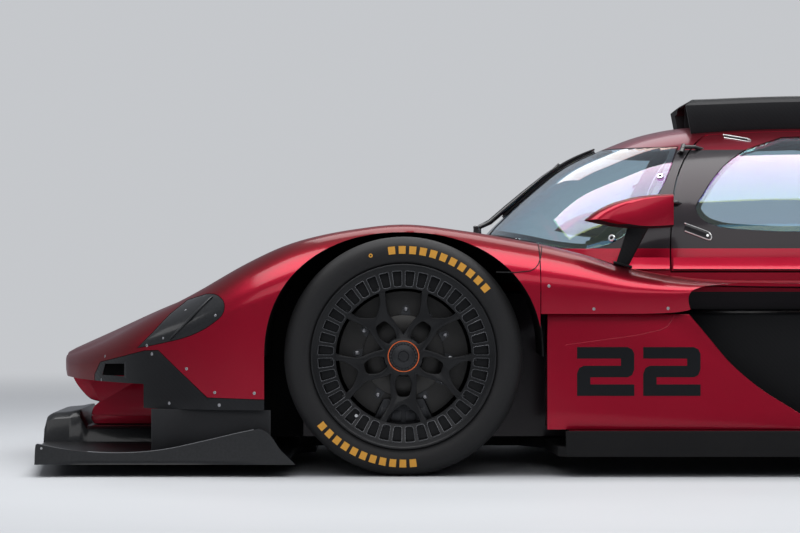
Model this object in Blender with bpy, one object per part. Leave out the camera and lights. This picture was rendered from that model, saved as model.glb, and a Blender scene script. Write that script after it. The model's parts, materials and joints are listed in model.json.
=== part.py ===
"""A closed-cockpit sports prototype race car, one object for each of its real pieces.

Metres, +Z up, the nose towards -X, the ground at z = 0, the origin under the middle of the car.
Heights and half-widths come from the side and plan outlines of the body; `a` is a distance from the centre
plane, `z` a height, `x` a place along the car, and tables are read through a smooth curve.
"""
import math

import bmesh
import bpy
from mathutils import Matrix, Vector

for leftover in list(bpy.data.objects):
    bpy.data.objects.remove(leftover, do_unlink=True)

# Driving dimensions
LENGTH = 4.75
WIDTH = 1.90
WHEELBASE = 3.01
FRONT_OVERHANG = 1.06
HALF_WIDTH = WIDTH / 2
NOSE_X = -LENGTH / 2
TAIL_X = LENGTH / 2
FRONT_AXLE_X = NOSE_X + FRONT_OVERHANG
REAR_AXLE_X = FRONT_AXLE_X + WHEELBASE

SEAT_GAP = 0.0003          # between pieces that rest on each other
SHUT_LINE = 0.004          # around doors and glass
PANEL_WALL = 0.006         # carbon body panels
TUB_WALL = 0.018           # carbon and honeycomb safety cell
DOOR_WALL = 0.018
GLASS_WALL = 0.005
FLOOR_Z = 0.055            # underside of the floor
FLOOR_WALL = 0.025
SILL_Z = 0.1225             # top of the rails along the floor's edges
CELL_FOOT_Z = FLOOR_Z + FLOOR_WALL + 0.0053

# Wheels
FRONT_TYRE_R = 0.325
FRONT_TYRE_W = 0.300
REAR_TYRE_R = 0.355
REAR_TYRE_W = 0.330
RIM_R = 0.229              # bead seat
RIM_FLANGE_R = RIM_R + 0.022
RIM_WALL = 0.011           # bead seat to the inside of the barrel
BARREL_R = RIM_R - RIM_WALL
RING_R = BARREL_R - 0.034  # inside of the ring that the spokes meet
CALIPER_R = BARREL_R - 0.015
DISC_R = BARREL_R - 0.040
KINGPIN_INSET = 0.033      # steering axis inboard of the middle of the tyre
WHEEL_INSET = 0.015        # tyre wall behind the widest part of the body
WHEEL_ROOM = 0.135         # between the front tyre and the safety cell, for the arms
CELL_HALF = HALF_WIDTH - WHEEL_INSET - FRONT_TYRE_W - WHEEL_ROOM
PANEL_INSET = 0.050        # number panels and wing end plates behind the widest part of the body
ARCH_DEPTH = 0.150         # how far in the wheel openings are cut
GEARBOX_HALF = 0.150

MATERIALS = {
    # name: (red, green, blue, alpha, roughness, metallic)
    "red_paint": (0.42, 0.004, 0.018, 1.0, 0.22, 0.3),
    "satin_carbon": (0.018, 0.019, 0.021, 1.0, 0.45, 0.1),
    "gloss_black": (0.010, 0.011, 0.013, 1.0, 0.2, 0.0),
    "wheel_black": (0.022, 0.023, 0.026, 1.0, 0.38, 0.6),
    "tyre_rubber": (0.022, 0.022, 0.024, 1.0, 0.8, 0.0),
    "brake_iron": (0.09, 0.085, 0.08, 1.0, 0.4, 0.8),
    "machined_alloy": (0.30, 0.30, 0.32, 1.0, 0.35, 0.9),
    "clear_glass": (0.35, 0.40, 0.45, 0.35, 0.05, 0.0),
    "seat_cloth": (0.03, 0.03, 0.033, 1.0, 0.85, 0.0),
}


def material(name):
    found = bpy.data.materials.get(name)
    if found:
        return found
    red, green, blue, alpha, roughness, metallic = MATERIALS[name]
    made = bpy.data.materials.new(name)
    made.use_nodes = True
    shader = made.node_tree.nodes["Principled BSDF"]
    shader.inputs["Base Color"].default_value = (red, green, blue, 1.0)
    shader.inputs["Alpha"].default_value = alpha
    shader.inputs["Roughness"].default_value = roughness
    shader.inputs["Metallic"].default_value = metallic
    return made


def along(rows, x):
    """Values of a table's columns at x, where its first column is x, through a smooth curve."""
    if x <= rows[0][0]:
        return list(rows[0][1:])
    if x >= rows[-1][0]:
        return list(rows[-1][1:])
    i = max(k for k in range(len(rows) - 1) if rows[k][0] <= x)
    left, right = rows[i], rows[i + 1]
    span = right[0] - left[0]
    t = (x - left[0]) / span
    before = rows[i - 1] if i > 0 else left
    after = rows[i + 2] if i + 2 < len(rows) else right
    found = []
    for c in range(1, len(left)):
        slope = (right[c] - left[c]) / span
        slope_in = slope if before is left else (left[c] - before[c]) / (left[0] - before[0])
        slope_out = slope if after is right else (after[c] - right[c]) / (after[0] - right[0])
        start = 2 * slope * slope_in / (slope + slope_in) if slope * slope_in > 0 else 0.0
        end = 2 * slope * slope_out / (slope + slope_out) if slope * slope_out > 0 else 0.0
        found.append(
            left[c] * (2 * t**3 - 3 * t**2 + 1) + right[c] * (3 * t**2 - 2 * t**3)
            + span * (start * (t**3 - 2 * t**2 + t) + end * (t**3 - t**2))
        )
    return found


def steps(first, last, count):
    return [first + (last - first) * k / count for k in range(count + 1)]


def placed(name, bm, finish=None, smooth=40.0):
    """A named object from a bmesh; without a finish it is a cutter."""
    mesh = bpy.data.meshes.new(name)
    bm.to_mesh(mesh)
    bm.free()
    made = bpy.data.objects.new(name, mesh)
    bpy.context.scene.collection.objects.link(made)
    if finish:
        mesh.materials.append(material(finish))
        mesh.shade_smooth()
        mesh.set_sharp_from_angle(angle=math.radians(smooth))
    else:
        made.hide_render = True
        made.display_type = "WIRE"
    return made


def grid(rings, closed=False, caps=False):
    """A bmesh of quads between rings of points; closed joins each ring's ends, caps fill the first and last."""
    bm = bmesh.new()
    rows = [[bm.verts.new(p) for p in ring] for ring in rings]
    wide = len(rows[0])
    for one, two in zip(rows, rows[1:]):
        for k in range(wide if closed else wide - 1):
            n = (k + 1) % wide
            bm.faces.new((one[k], two[k], two[n], one[n]))
    if caps:
        bm.faces.new(rows[0])
        bm.faces.new(rows[-1])
        bmesh.ops.recalc_face_normals(bm, faces=bm.faces)
    return bm


def prism(name, outline, low, high, plane="XZ", finish=None):
    """An outline pushed between two levels; its points lie in the XZ, XY or YZ plane."""
    def point(p, level):
        return {"XZ": (p[0], level, p[1]), "XY": (p[0], p[1], level), "YZ": (level, p[0], p[1])}[plane]
    rings = [[point(p, level) for p in outline] for level in (low, high)]
    return placed(name, grid(rings, closed=True, caps=True), finish)


def box(name, low, high, finish=None):
    outline = [(low[0], low[1]), (high[0], low[1]), (high[0], high[1]), (low[0], high[1])]
    return prism(name, outline, low[2], high[2], plane="XY", finish=finish)


def turned(name, profile, centre, segments, finish=None, turn=0.0):
    """A closed profile of (radius, y) turned about the Y axis through centre."""
    rings = []
    for k in range(segments):
        angle = turn + 2 * math.pi * k / segments
        rings.append([
            (centre[0] + r * math.cos(angle), centre[1] + y, centre[2] + r * math.sin(angle)) for r, y in profile
        ])
    rings.append(rings[0])
    bm = grid(rings, closed=True)
    bmesh.ops.remove_doubles(bm, verts=bm.verts, dist=1e-6)
    bmesh.ops.recalc_face_normals(bm, faces=bm.faces)
    return placed(name, bm, finish)


def bar(name, start, end, radius, sides=8, finish=None):
    """A round bar between two points."""
    start, end = Vector(start), Vector(end)
    turn = (end - start).to_track_quat("Z", "Y").to_matrix()
    rings = []
    for base in (start, end):
        rings.append([
            base + turn @ Vector((radius * math.cos(q), radius * math.sin(q), 0))
            for q in (2 * math.pi * k / sides for k in range(sides))
        ])
    return placed(name, grid(rings, closed=True, caps=True), finish)


def change(piece, operation, *tools):
    """Boolean modifiers: CUT takes the tools away, ADD joins them, KEEP leaves what lies inside them."""
    for tool in tools:
        step = piece.modifiers.new(tool.name, "BOOLEAN")
        step.operation = {"CUT": "DIFFERENCE", "ADD": "UNION", "KEEP": "INTERSECT"}[operation]
        step.object = tool
        step.solver = "EXACT"
        tool.hide_render = True
        tool.display_type = "WIRE"
    return piece


def thicken(piece, wall):
    step = piece.modifiers.new("wall", "SOLIDIFY")
    step.thickness = wall
    step.offset = -1.0
    step.use_even_offset = True
    return piece


def settle(piece):
    """Turns a piece's modifiers into its mesh, and drops the tools that nothing else uses."""
    tools = [m.object for m in piece.modifiers if m.type == "BOOLEAN"]
    graph = bpy.context.evaluated_depsgraph_get()
    mesh = bpy.data.meshes.new_from_object(piece.evaluated_get(graph))
    piece.modifiers.clear()
    old = piece.data
    piece.data = mesh
    if old.users == 0:
        bpy.data.meshes.remove(old)
    for tool in set(tools):
        used = any(m.type == "BOOLEAN" and m.object == tool for o in bpy.data.objects for m in o.modifiers)
        if not used and not tool.get("keep"):
            bpy.data.objects.remove(tool, do_unlink=True)
    return piece


def side_name(side):
    return "left" if side < 0 else "right"


# Places along the car
F, R = FRONT_AXLE_X, REAR_AXLE_X
COWL_X = F + 0.175          # foremost point of the canopy
SEAM_X = F + 0.370          # front clip to shoulder deck
BULKHEAD_X = F + 1.735      # rear bulkhead of the safety cell
CLIP_TAIL_X = TAIL_X - 0.14

CANOPY_FOOT_Z = 0.48
CANOPY_POWER = 2.4
CANOPY = [
    # x, z of the roof, a at the foot
    (COWL_X, 0.560, 0.060),
    (F + 0.205, 0.610, 0.200),
    (F + 0.245, 0.660, 0.310),
    (F + 0.315, 0.728, 0.410),
    (F + 0.395, 0.799, 0.475),
    (F + 0.485, 0.868, 0.520),
    (F + 0.595, 0.918, 0.555),
    (F + 0.715, 0.962, 0.580),
    (F + 0.835, 0.984, 0.592),
    (F + 1.115, 0.998, 0.600),
    (F + 1.415, 1.000, 0.598),
    (BULKHEAD_X, 0.985, 0.585),
    (R - 0.995, 0.945, 0.540),
    (R - 0.695, 0.885, 0.460),
    (R - 0.395, 0.810, 0.370),
    (R - 0.095, 0.730, 0.290),
    (R + 0.205, 0.655, 0.220),
    (R + 0.540, 0.590, 0.170),
]

# Cross-sections of the painted body between the centre plane and its hem
BODY_COLUMNS = ("x", "z_mid", "a_foot", "z_foot", "a_crest", "z_crest", "a_side", "z_side", "z_hem")
FRONT_BODY = [
    (NOSE_X + 0.055, 0.300, 0.03, 0.297, 0.06, 0.290, 0.10, 0.270, 0.235),
    (NOSE_X + 0.075, 0.322, 0.10, 0.316, 0.17, 0.305, 0.24, 0.275, 0.200),
    (NOSE_X + 0.130, 0.349, 0.20, 0.340, 0.33, 0.325, 0.42, 0.285, 0.185),
    (NOSE_X + 0.220, 0.390, 0.28, 0.375, 0.48, 0.362, 0.62, 0.310, 0.180),
    (NOSE_X + 0.340, 0.445, 0.32, 0.420, 0.62, 0.425, 0.80, 0.350, 0.180),
    (F - 0.580, 0.500, 0.34, 0.460, 0.69, 0.495, HALF_WIDTH - 0.06, 0.40, 0.180),
    (F - 0.430, 0.545, 0.36, 0.485, HALF_WIDTH - 0.215, 0.580, HALF_WIDTH - 0.015, 0.455, 0.180),
    (F - 0.300, 0.578, 0.37, 0.500, HALF_WIDTH - 0.205, 0.637, HALF_WIDTH - 0.002, 0.50, 0.180),
    (F - 0.150, 0.605, 0.38, 0.515, HALF_WIDTH - 0.200, 0.670, HALF_WIDTH, 0.530, 0.180),
    (F, 0.630, 0.39, 0.525, HALF_WIDTH - 0.200, 0.686, HALF_WIDTH, 0.540, 0.180),
    (F + 0.150, 0.645, 0.42, 0.530, HALF_WIDTH - 0.200, 0.670, HALF_WIDTH, 0.535, 0.180),
    (SEAM_X, 0.660, 0.48, 0.530, HALF_WIDTH - 0.195, 0.633, HALF_WIDTH, 0.515, 0.180),
]
DECK_BODY = [
    (SEAM_X, 0.560, 0.52, 0.530, HALF_WIDTH - 0.195, 0.633, HALF_WIDTH, 0.515, 0.441),
    (F + 0.500, 0.550, 0.54, 0.530, HALF_WIDTH - 0.185, 0.602, HALF_WIDTH, 0.505, 0.441),
    (F + 0.620, 0.545, 0.56, 0.525, HALF_WIDTH - 0.175, 0.565, HALF_WIDTH, 0.495, 0.441),
    (F + 0.760, 0.540, 0.58, 0.520, HALF_WIDTH - 0.165, 0.541, HALF_WIDTH, 0.495, 0.446),
    (F + 0.870, 0.538, 0.58, 0.518, HALF_WIDTH - 0.160, 0.532, HALF_WIDTH, 0.514, 0.490),
    (F + 1.000, 0.535, 0.58, 0.515, HALF_WIDTH - 0.155, 0.531, HALF_WIDTH, 0.516, 0.490),
    (F + 1.400, 0.530, 0.58, 0.512, HALF_WIDTH - 0.155, 0.531, HALF_WIDTH, 0.516, 0.490),
    (BULKHEAD_X, 0.530, 0.57, 0.512, HALF_WIDTH - 0.155, 0.535, HALF_WIDTH, 0.516, 0.490),
]
REAR_BODY = [
    (BULKHEAD_X, 0.530, 0.57, 0.512, HALF_WIDTH - 0.155, 0.535, HALF_WIDTH, 0.516, 0.490),
    (R - 0.895, 0.530, 0.54, 0.515, HALF_WIDTH - 0.160, 0.575, HALF_WIDTH, 0.520, 0.430),
    (R - 0.700, 0.530, 0.50, 0.520, HALF_WIDTH - 0.170, 0.650, HALF_WIDTH, 0.530, 0.260),
    (R - 0.560, 0.530, 0.46, 0.520, HALF_WIDTH - 0.175, 0.705, HALF_WIDTH, 0.565, 0.150),
    (R - 0.395, 0.528, 0.42, 0.518, HALF_WIDTH - 0.180, 0.758, HALF_WIDTH, 0.610, 0.130),
    (R - 0.200, 0.520, 0.38, 0.512, HALF_WIDTH - 0.185, 0.792, HALF_WIDTH, 0.645, 0.130),
    (R, 0.510, 0.36, 0.505, HALF_WIDTH - 0.185, 0.805, HALF_WIDTH, 0.660, 0.130),
    (R + 0.200, 0.500, 0.34, 0.495, HALF_WIDTH - 0.185, 0.800, HALF_WIDTH, 0.655, 0.160),
    (R + 0.400, 0.490, 0.32, 0.485, HALF_WIDTH - 0.185, 0.778, HALF_WIDTH - 0.005, 0.640, 0.260),
    (CLIP_TAIL_X, 0.480, 0.30, 0.475, HALF_WIDTH - 0.185, 0.750, HALF_WIDTH - 0.015, 0.620, 0.330),
]


def arched(name, rows, stations, grow=0.0, foot=0.0, sides=12, power=2.4, finish=None):
    """A closed loft of superelliptic arches; rows hold x, the arch's top and its half-width at the foot."""
    rings = []
    for x in stations:
        top, half = along(rows, x)
        ring = []
        for k in range(sides + 1):
            c, s = math.cos(math.pi * k / sides), math.sin(math.pi * k / sides)
            y = -math.copysign(abs(c) ** (2 / power), c) * max(half + grow, 0.02)
            z = foot + abs(s) ** (2 / power) * (max(top + grow, foot + 0.02) - foot)
            ring.append((x, y, z))
        rings.append(ring)
    bm = grid(rings, closed=True, caps=True)
    bmesh.ops.triangulate(bm, faces=bm.faces)
    return placed(name, bm, finish)


def canopy_form(name, first, last, grow=0.0, foot=CANOPY_FOOT_Z, finish=None):
    """The closed shape under the canopy's skin between two stations, grown or shrunk by a wall."""
    stations = sorted({first, last} | {row[0] for row in CANOPY if first < row[0] < last})
    return arched(name, CANOPY, stations, grow, foot, power=CANOPY_POWER, finish=finish)


def body_section(rows, x, bumps=3, rounds=3):
    """Half a body section at x, as (a, z) from the centre plane over the fender to the hem."""
    mid, foot_a, foot_z, crest_a, crest_z, side_a, side_z, hem_z = along(rows, x)
    points = [(0.0, mid), (foot_a * 0.55, mid + (foot_z - mid) * 0.35), (foot_a, foot_z)]
    for k in range(1, bumps + 1):
        rise = 0.5 - 0.5 * math.cos(math.pi * k / bumps)
        points.append((foot_a + (crest_a - foot_a) * k / bumps, foot_z + (crest_z - foot_z) * rise))
    for k in range(1, rounds + 1):
        turn = 0.5 * math.pi * k / rounds
        points.append((crest_a + (side_a - crest_a) * math.sin(turn), side_z + (crest_z - side_z) * math.cos(turn)))
    points.append((side_a - 0.001, (side_z + hem_z) / 2))
    points.append((side_a - 0.004, hem_z))
    return points


def body_skin(name, rows, stations, finish, side=0, wall=PANEL_WALL):
    """A body panel of one wall's thickness over the whole width, or on one side outboard of its foot."""
    rings = []
    for x in stations:
        half = body_section(rows, x)
        if side:
            ring = [(x, side * a, z) for a, z in half[2:]]
            rings.append(ring if side > 0 else ring[::-1])
        else:
            rings.append([(x, -a, z) for a, z in half[:0:-1]] + [(x, a, z) for a, z in half])
    bm = grid(rings)
    bmesh.ops.triangulate(bm, faces=bm.faces)
    return thicken(placed(name, bm, finish), wall)


def arch_outline(axle_x, axle_z, reach, rise, floor_z, count=16, power=2.2):
    """A wheel opening in side view: a superellipse over the wheel with straight legs to floor_z."""
    points = [(axle_x - reach, floor_z)]
    for k in range(count + 1):
        c, s = -math.cos(math.pi * k / count), math.sin(math.pi * k / count)
        points.append((
            axle_x + math.copysign(abs(c) ** (2 / power), c) * reach,
            axle_z + abs(s) ** (2 / power) * rise,
        ))
    return points + [(axle_x + reach, floor_z)]


def widened(outline, by):
    """A closed outline with each edge moved outwards by a distance, or inwards where it is negative."""
    area = sum(p[0] * q[1] - q[0] * p[1] for p, q in zip(outline, outline[1:] + outline[:1]))
    out = math.copysign(1.0, area)
    moved = []
    for before, here, after in zip(outline[-1:] + outline[:-1], outline, outline[1:] + outline[:1]):
        first = Vector((here[0] - before[0], here[1] - before[1])).normalized()
        second = Vector((after[0] - here[0], after[1] - here[1])).normalized()
        one = Vector((first.y, -first.x)) * out
        two = Vector((second.y, -second.x)) * out
        corner = (one + two) / max(1.0 + one.dot(two), 0.3)
        moved.append((here[0] + corner.x * by, here[1] + corner.y * by))
    return moved


# Outlines in side view, as (x, z)
FRONT_ARCH = arch_outline(F, FRONT_TYRE_R, reach=0.377, rise=0.338, floor_z=0.0)
REAR_ARCH = arch_outline(R, REAR_TYRE_R, reach=0.405, rise=0.372, floor_z=0.0)
HEADLAMP = [
    (F - 0.733, 0.345), (F - 0.540, 0.493), (F - 0.510, 0.491), (F - 0.488, 0.471),
    (F - 0.488, 0.447), (F - 0.524, 0.411), (F - 0.582, 0.381), (F - 0.656, 0.361),
]
CORNER_DUCT = [
    (F - 0.871, 0.100), (F - 0.875, 0.262), (F - 0.855, 0.299), (F - 0.712, 0.337), (F - 0.672, 0.339),
    (F - 0.533, 0.212), (F - 0.300, 0.206), (F - 0.300, 0.100),
]
DUCT_MOUTH = [(F - 0.848, 0.264), (F - 0.838, 0.296), (F - 0.775, 0.300), (F - 0.775, 0.264)]
WINDSCREEN = [
    (F + 0.150, 0.640), (F + 0.250, 0.662), (F + 0.328, 0.650), (F + 0.458, 0.624), (F + 0.533, 0.620),
    (F + 0.595, 0.638), (F + 0.648, 0.676), (F + 0.730, 0.781), (F + 0.796, 0.915), (F + 0.150, 0.915),
]
DOOR = [
    (F + 0.758, 0.556), (F + 0.757, 0.620), (F + 0.765, 0.717), (F + 0.783, 0.817), (F + 0.829, 0.901),
    (F + 0.880, 0.948), (F + 0.915, 0.962), (F + 0.930, 1.050), (F + 1.660, 1.050), (F + 1.690, 0.930),
    (F + 1.695, 0.800), (F + 1.685, 0.556),
]
DOOR_GLASS = [
    (F + 0.831, 0.731), (F + 0.850, 0.702), (F + 0.899, 0.681), (F + 0.961, 0.674), (F + 1.400, 0.684),
    (F + 1.570, 0.700), (F + 1.620, 0.750), (F + 1.610, 0.830), (F + 1.560, 0.885), (F + 1.480, 0.905),
    (F + 0.990, 0.906), (F + 0.928, 0.864), (F + 0.854, 0.775),
]
SIDE_HOLLOW = [
    (F + 0.777, 0.448), (F + 0.771, 0.467), (F + 0.770, 0.487), (F + 0.778, 0.502), (F + 0.800, 0.512),
    (F + 0.850, 0.520), (F + 1.100, 0.5215), (R - 1.100, 0.5215), (R - 1.100, 0.300), (F + 0.850, 0.300),
]
NUMBER_PANEL = [
    (F + 0.390, 0.125), (F + 0.390, 0.4405), (F + 0.776, 0.4405), (F + 0.826, 0.381), (F + 0.892, 0.3035),
    (F + 0.965, 0.2414), (F + 1.071, 0.174), (F + 1.150, 0.125),
]
FIN = [
    (BULKHEAD_X + 0.36, 0.92), (BULKHEAD_X + 0.50, 1.010), (BULKHEAD_X + 0.70, 1.035), (TAIL_X - 0.420, 1.035),
    (TAIL_X - 0.385, 0.980), (TAIL_X - 0.375, 0.932), (TAIL_X - 0.260, 0.900), (TAIL_X - 0.175, 0.560),
    (R - 0.30, 0.560),
]
FLANGE = 0.014              # lip behind glass and doors


def both_sides(name, outline, inner, outer):
    """An outline pushed through the left and the right side of the body."""
    return [prism(f"{name}.{side_name(s)}", outline, s * inner, s * outer) for s in (-1, 1)]


def front_clip():
    stations = [row[0] for row in FRONT_BODY[:-1]] + [F + 0.260, SEAM_X - SEAT_GAP]
    skin = body_skin("front_clip", FRONT_BODY, stations, "red_paint")
    shared = skin.data
    under_duct = box("under_nose", (NOSE_X - 0.1, -WIDTH, 0.0), (F - 0.715, WIDTH, 0.246))
    cowl = canopy_form("cowl_cut", COWL_X, SEAM_X + 0.2, SEAT_GAP * 4)
    arches = both_sides("front_arch", FRONT_ARCH, HALF_WIDTH - ARCH_DEPTH, WIDTH)
    lamps = both_sides("lamp_cut", widened(HEADLAMP, SEAT_GAP), 0.700 - SEAT_GAP, 1.10)
    corners = both_sides("corner_cut", widened(CORNER_DUCT, SEAT_GAP), 0.25, 1.10)
    change(skin, "CUT", under_duct, cowl, *arches, *lamps, *corners)
    for side in (-1, 1):
        lamp = bpy.data.objects.new("headlamp_" + side_name(side), shared.copy())
        corner = bpy.data.objects.new("corner_duct_" + side_name(side), shared.copy())
        for piece, finish in ((lamp, "gloss_black"), (corner, "satin_carbon")):
            bpy.context.scene.collection.objects.link(piece)
            piece.data.materials[0] = material(finish)
            thicken(piece, PANEL_WALL)
        change(lamp, "KEEP", prism(f"lamp_keep.{side}", HEADLAMP, side * 0.700, side * 1.10))
        change(corner, "KEEP", prism(f"corner_keep.{side}", CORNER_DUCT, side * 0.25, side * 1.10))
        change(corner, "CUT", under_duct, arches[0 if side < 0 else 1])
        change(corner, "CUT", prism(f"mouth.{side}", DUCT_MOUTH, side * 0.3, side * 1.1))
        settle(lamp)
        settle(corner)
    return settle(skin)


def nose_keel():
    outline = [
        (NOSE_X + 0.068, 0.285), (NOSE_X + 0.085, 0.230), (NOSE_X + 0.132, 0.174), (NOSE_X + 0.160, 0.168),
        (NOSE_X + 0.135, 0.142), (NOSE_X + 0.135, 0.1005), (NOSE_X + 0.330, 0.1005), (F - 0.560, 0.130),
        (F - 0.448, 0.150), (F - 0.448, 0.400), (NOSE_X + 0.250, 0.352), (NOSE_X + 0.150, 0.315),
    ]
    keel = prism("nose_keel", outline, -0.15, 0.15, finish="red_paint")
    step = keel.modifiers.new("edges", "BEVEL")
    step.width = 0.014
    step.segments = 2
    step.limit_method = "ANGLE"
    step.angle_limit = math.radians(60)
    return keel


def deck(side):
    stations = [DECK_BODY[0][0] + 0.002] + [row[0] for row in DECK_BODY[1:]]
    piece = body_skin("shoulder_deck_" + side_name(side), DECK_BODY, stations, "red_paint", side)
    change(
        piece, "CUT",
        canopy_form(f"deck_cut.{side}", COWL_X, BULKHEAD_X + 0.1, SEAT_GAP * 3),
        prism(f"deck_arch.{side}", FRONT_ARCH, side * (HALF_WIDTH - ARCH_DEPTH), side * WIDTH),
        prism(f"hollow_cut.{side}", SIDE_HOLLOW, side * 0.66, side * 1.10),
    )
    return settle(piece)


# Door hinge axis of each side: two points just outside the windscreen pillar, as (x, a, z)
HINGE_LOW = (F + 0.740, 0.537, 0.745)
HINGE_HIGH = (F + 0.807, 0.386, 0.9085)
HINGE_PLAY = 0.0002         # half the gap between a barrel and its lug
DASH_Z = 0.585              # beam across the safety cell that carries the steering column


def hinge_point(side, t):
    low, high = Vector(HINGE_LOW), Vector(HINGE_HIGH)
    p = low + (high - low) * t
    return Vector((p.x, side * p.y, p.z))


def hinge_axis(side):
    return (hinge_point(side, 1) - hinge_point(side, 0)).normalized()


def recess(name, outline, inner, outer, first, last):
    """The space a pane sits in: its outline less everything deeper than the pane."""
    tool = prism(name, outline, inner, outer)
    change(tool, "CUT", canopy_form(name + ".deep", first, last, -(GLASS_WALL + SEAT_GAP), CANOPY_FOOT_Z - 0.01))
    return settle(tool)


def pane(name, outline, inner, outer, first, last):
    glass = canopy_form(name, first, last, 0.0, finish="clear_glass")
    change(glass, "CUT", canopy_form(name + ".under", first - 0.01, last + 0.01, -GLASS_WALL, CANOPY_FOOT_Z - 0.01))
    change(glass, "KEEP", prism(name + ".keep", outline, inner, outer))
    return settle(glass)


def tub():
    shell = canopy_form("tub", COWL_X, BULKHEAD_X, finish="satin_carbon")
    rows = [(x, along(CANOPY, x)[1] - 0.001) for x in steps(F + 0.410, BULKHEAD_X - 0.001, 8)]
    ledge = prism("ledge", [(x, -a) for x, a in rows] + [(x, a) for x, a in rows[::-1]], 0.450, 0.486, plane="XY")
    lower = box("lower", (F - 0.285, -CELL_HALF, CELL_FOOT_Z), (BULKHEAD_X, CELL_HALF, 0.490))
    change(shell, "ADD", ledge, lower)
    change(
        shell, "CUT",
        canopy_form("tub.inside", COWL_X + 0.045, BULKHEAD_X - 0.020, -TUB_WALL, 0.462),
        box(
            "lower.inside", (F - 0.265, TUB_WALL - CELL_HALF, CELL_FOOT_Z + TUB_WALL),
            (BULKHEAD_X - 0.020, CELL_HALF - TUB_WALL, 0.470),
        ),
        recess("screen_seat", widened(WINDSCREEN, SHUT_LINE / 2), -1.0, 1.0, COWL_X - 0.01, BULKHEAD_X),
        prism("screen_hole", widened(WINDSCREEN, -FLANGE), -1.0, 1.0),
        *both_sides("door_hole", widened(DOOR, SHUT_LINE), 0.268, 1.10),
    )
    settle(shell)
    beam = bar("dash_beam", (F + 0.560, -0.524, DASH_Z), (F + 0.560, 0.524, DASH_Z), 0.022, 10)
    change(shell, "ADD", beam)
    for side in (-1, 1):
        for name, t in (("low", 0.0), ("high", 1.0)):
            knuckle = bar(
                f"lug_{name}.{side}", hinge_point(side, t) - hinge_axis(side) * 0.016,
                hinge_point(side, t) - hinge_axis(side) * HINGE_PLAY, 0.007, 10,
            )
            middle = hinge_point(side, t) - hinge_axis(side) * 0.0085
            root = bar(f"lug_root_{name}.{side}", middle, middle + Vector((-0.012, -side * 0.016, -0.012)), 0.006, 8)
            change(shell, "ADD", knuckle, root)
    return settle(shell)


def windscreen():
    return pane("windscreen", WINDSCREEN, -1.0, 1.0, COWL_X, BULKHEAD_X)


def door(side):
    name = "door_" + side_name(side)
    first, last = F + 0.70, BULKHEAD_X
    shell = canopy_form(name, first, last, finish="red_paint")
    change(shell, "CUT", canopy_form(name + ".inside", first - 0.01, last + 0.01, -DOOR_WALL, CANOPY_FOOT_Z - 0.02))
    change(shell, "KEEP", prism(name + ".keep", DOOR, side * 0.272, side * 1.10))
    change(
        shell, "CUT",
        recess(
            name + ".seat", widened(DOOR_GLASS, SHUT_LINE / 2), side * 0.15, side * 1.10, first - 0.02, last + 0.02,
        ),
        prism(name + ".hole", widened(DOOR_GLASS, -FLANGE), side * 0.15, side * 1.10),
    )
    for place, t in (("low", 0.0), ("high", 1.0)):
        axis = hinge_axis(side)
        low, high = hinge_point(side, t) + axis * HINGE_PLAY, hinge_point(side, t) + axis * 0.016
        barrel = bar(f"{name}.{place}", low, high, 0.007, 10)
        middle = hinge_point(side, t) + axis * 0.0085
        bend = middle + Vector((0.036, 0.0, 0.0))
        arm = bar(f"{name}.{place}.arm", middle, bend, 0.0055, 8)
        low, high = bend - Vector((0.003, 0, 0)), bend + Vector((0.024, -side * 0.014, -0.008))
        foot = bar(f"{name}.{place}.foot", low, high, 0.0055, 8)
        change(shell, "ADD", barrel, arm, foot)
    return settle(shell)


def door_glass(side):
    return pane(
        "door_glass_" + side_name(side), DOOR_GLASS, side * 0.15, side * 1.10, F + 0.72, BULKHEAD_X,
    )


def closed_half(points):
    """A polygon in XY from half of it, mirrored in the centre plane."""
    return points + [(x, -y) for x, y in points[::-1]]


def splitter():
    edge = [
        (NOSE_X, 0.0001), (NOSE_X + 0.003, 0.200), (NOSE_X + 0.013, 0.400), (NOSE_X + 0.028, 0.600),
        (NOSE_X + 0.048, 0.800), (NOSE_X + 0.062, HALF_WIDTH - 0.050), (NOSE_X + 0.085, HALF_WIDTH - 0.014),
        (F - 0.310, HALF_WIDTH - 0.014),
        (F - 0.310, 0.560), (F - 0.300, 0.480), (F - 0.250, 0.430),
    ]
    plate = prism("splitter", closed_half(edge), 0.0362, FLOOR_Z - SEAT_GAP, plane="XY", finish="satin_carbon")
    centre = [
        (NOSE_X + 0.003, 0.045), (NOSE_X + 0.003, 0.108), (NOSE_X + 0.007, 0.128), (NOSE_X + 0.030, 0.139),
        (NOSE_X + 0.070, 0.1415), (NOSE_X + 0.110, 0.150), (NOSE_X + 0.128, 0.100), (F - 0.560, 0.100),
        (F - 0.380, 0.060), (F - 0.380, 0.045),
    ]
    change(plate, "ADD", prism("splitter_centre", centre, -0.245, 0.245))
    fence = [
        (NOSE_X + 0.063, 0.0335), (NOSE_X + 0.068, 0.090), (NOSE_X + 0.150, 0.074), (NOSE_X + 0.280, 0.064),
        (NOSE_X + 0.400, 0.072), (NOSE_X + 0.520, 0.096), (NOSE_X + 0.620, 0.120), (NOSE_X + 0.671, 0.130),
        (NOSE_X + 0.682, 0.126), (F - 0.320, 0.056), (F - 0.290, 0.0335),
    ]
    for side in (-1, 1):
        change(plate, "ADD", prism(f"fence.{side}", fence, side * (HALF_WIDTH - 0.020), side * HALF_WIDTH))
        stay = [(F - 0.570, 0.0675), (F - 0.440, 0.0265), (F - 0.440, 0.0215), (F - 0.570, 0.0625)]
        stay = [(x, side * (HALF_WIDTH - inset)) for x, inset in stay]
        change(plate, "ADD", prism(f"stay.{side}", stay, 0.050, 0.180 - SEAT_GAP, plane="XY"))
    return settle(plate)


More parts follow.
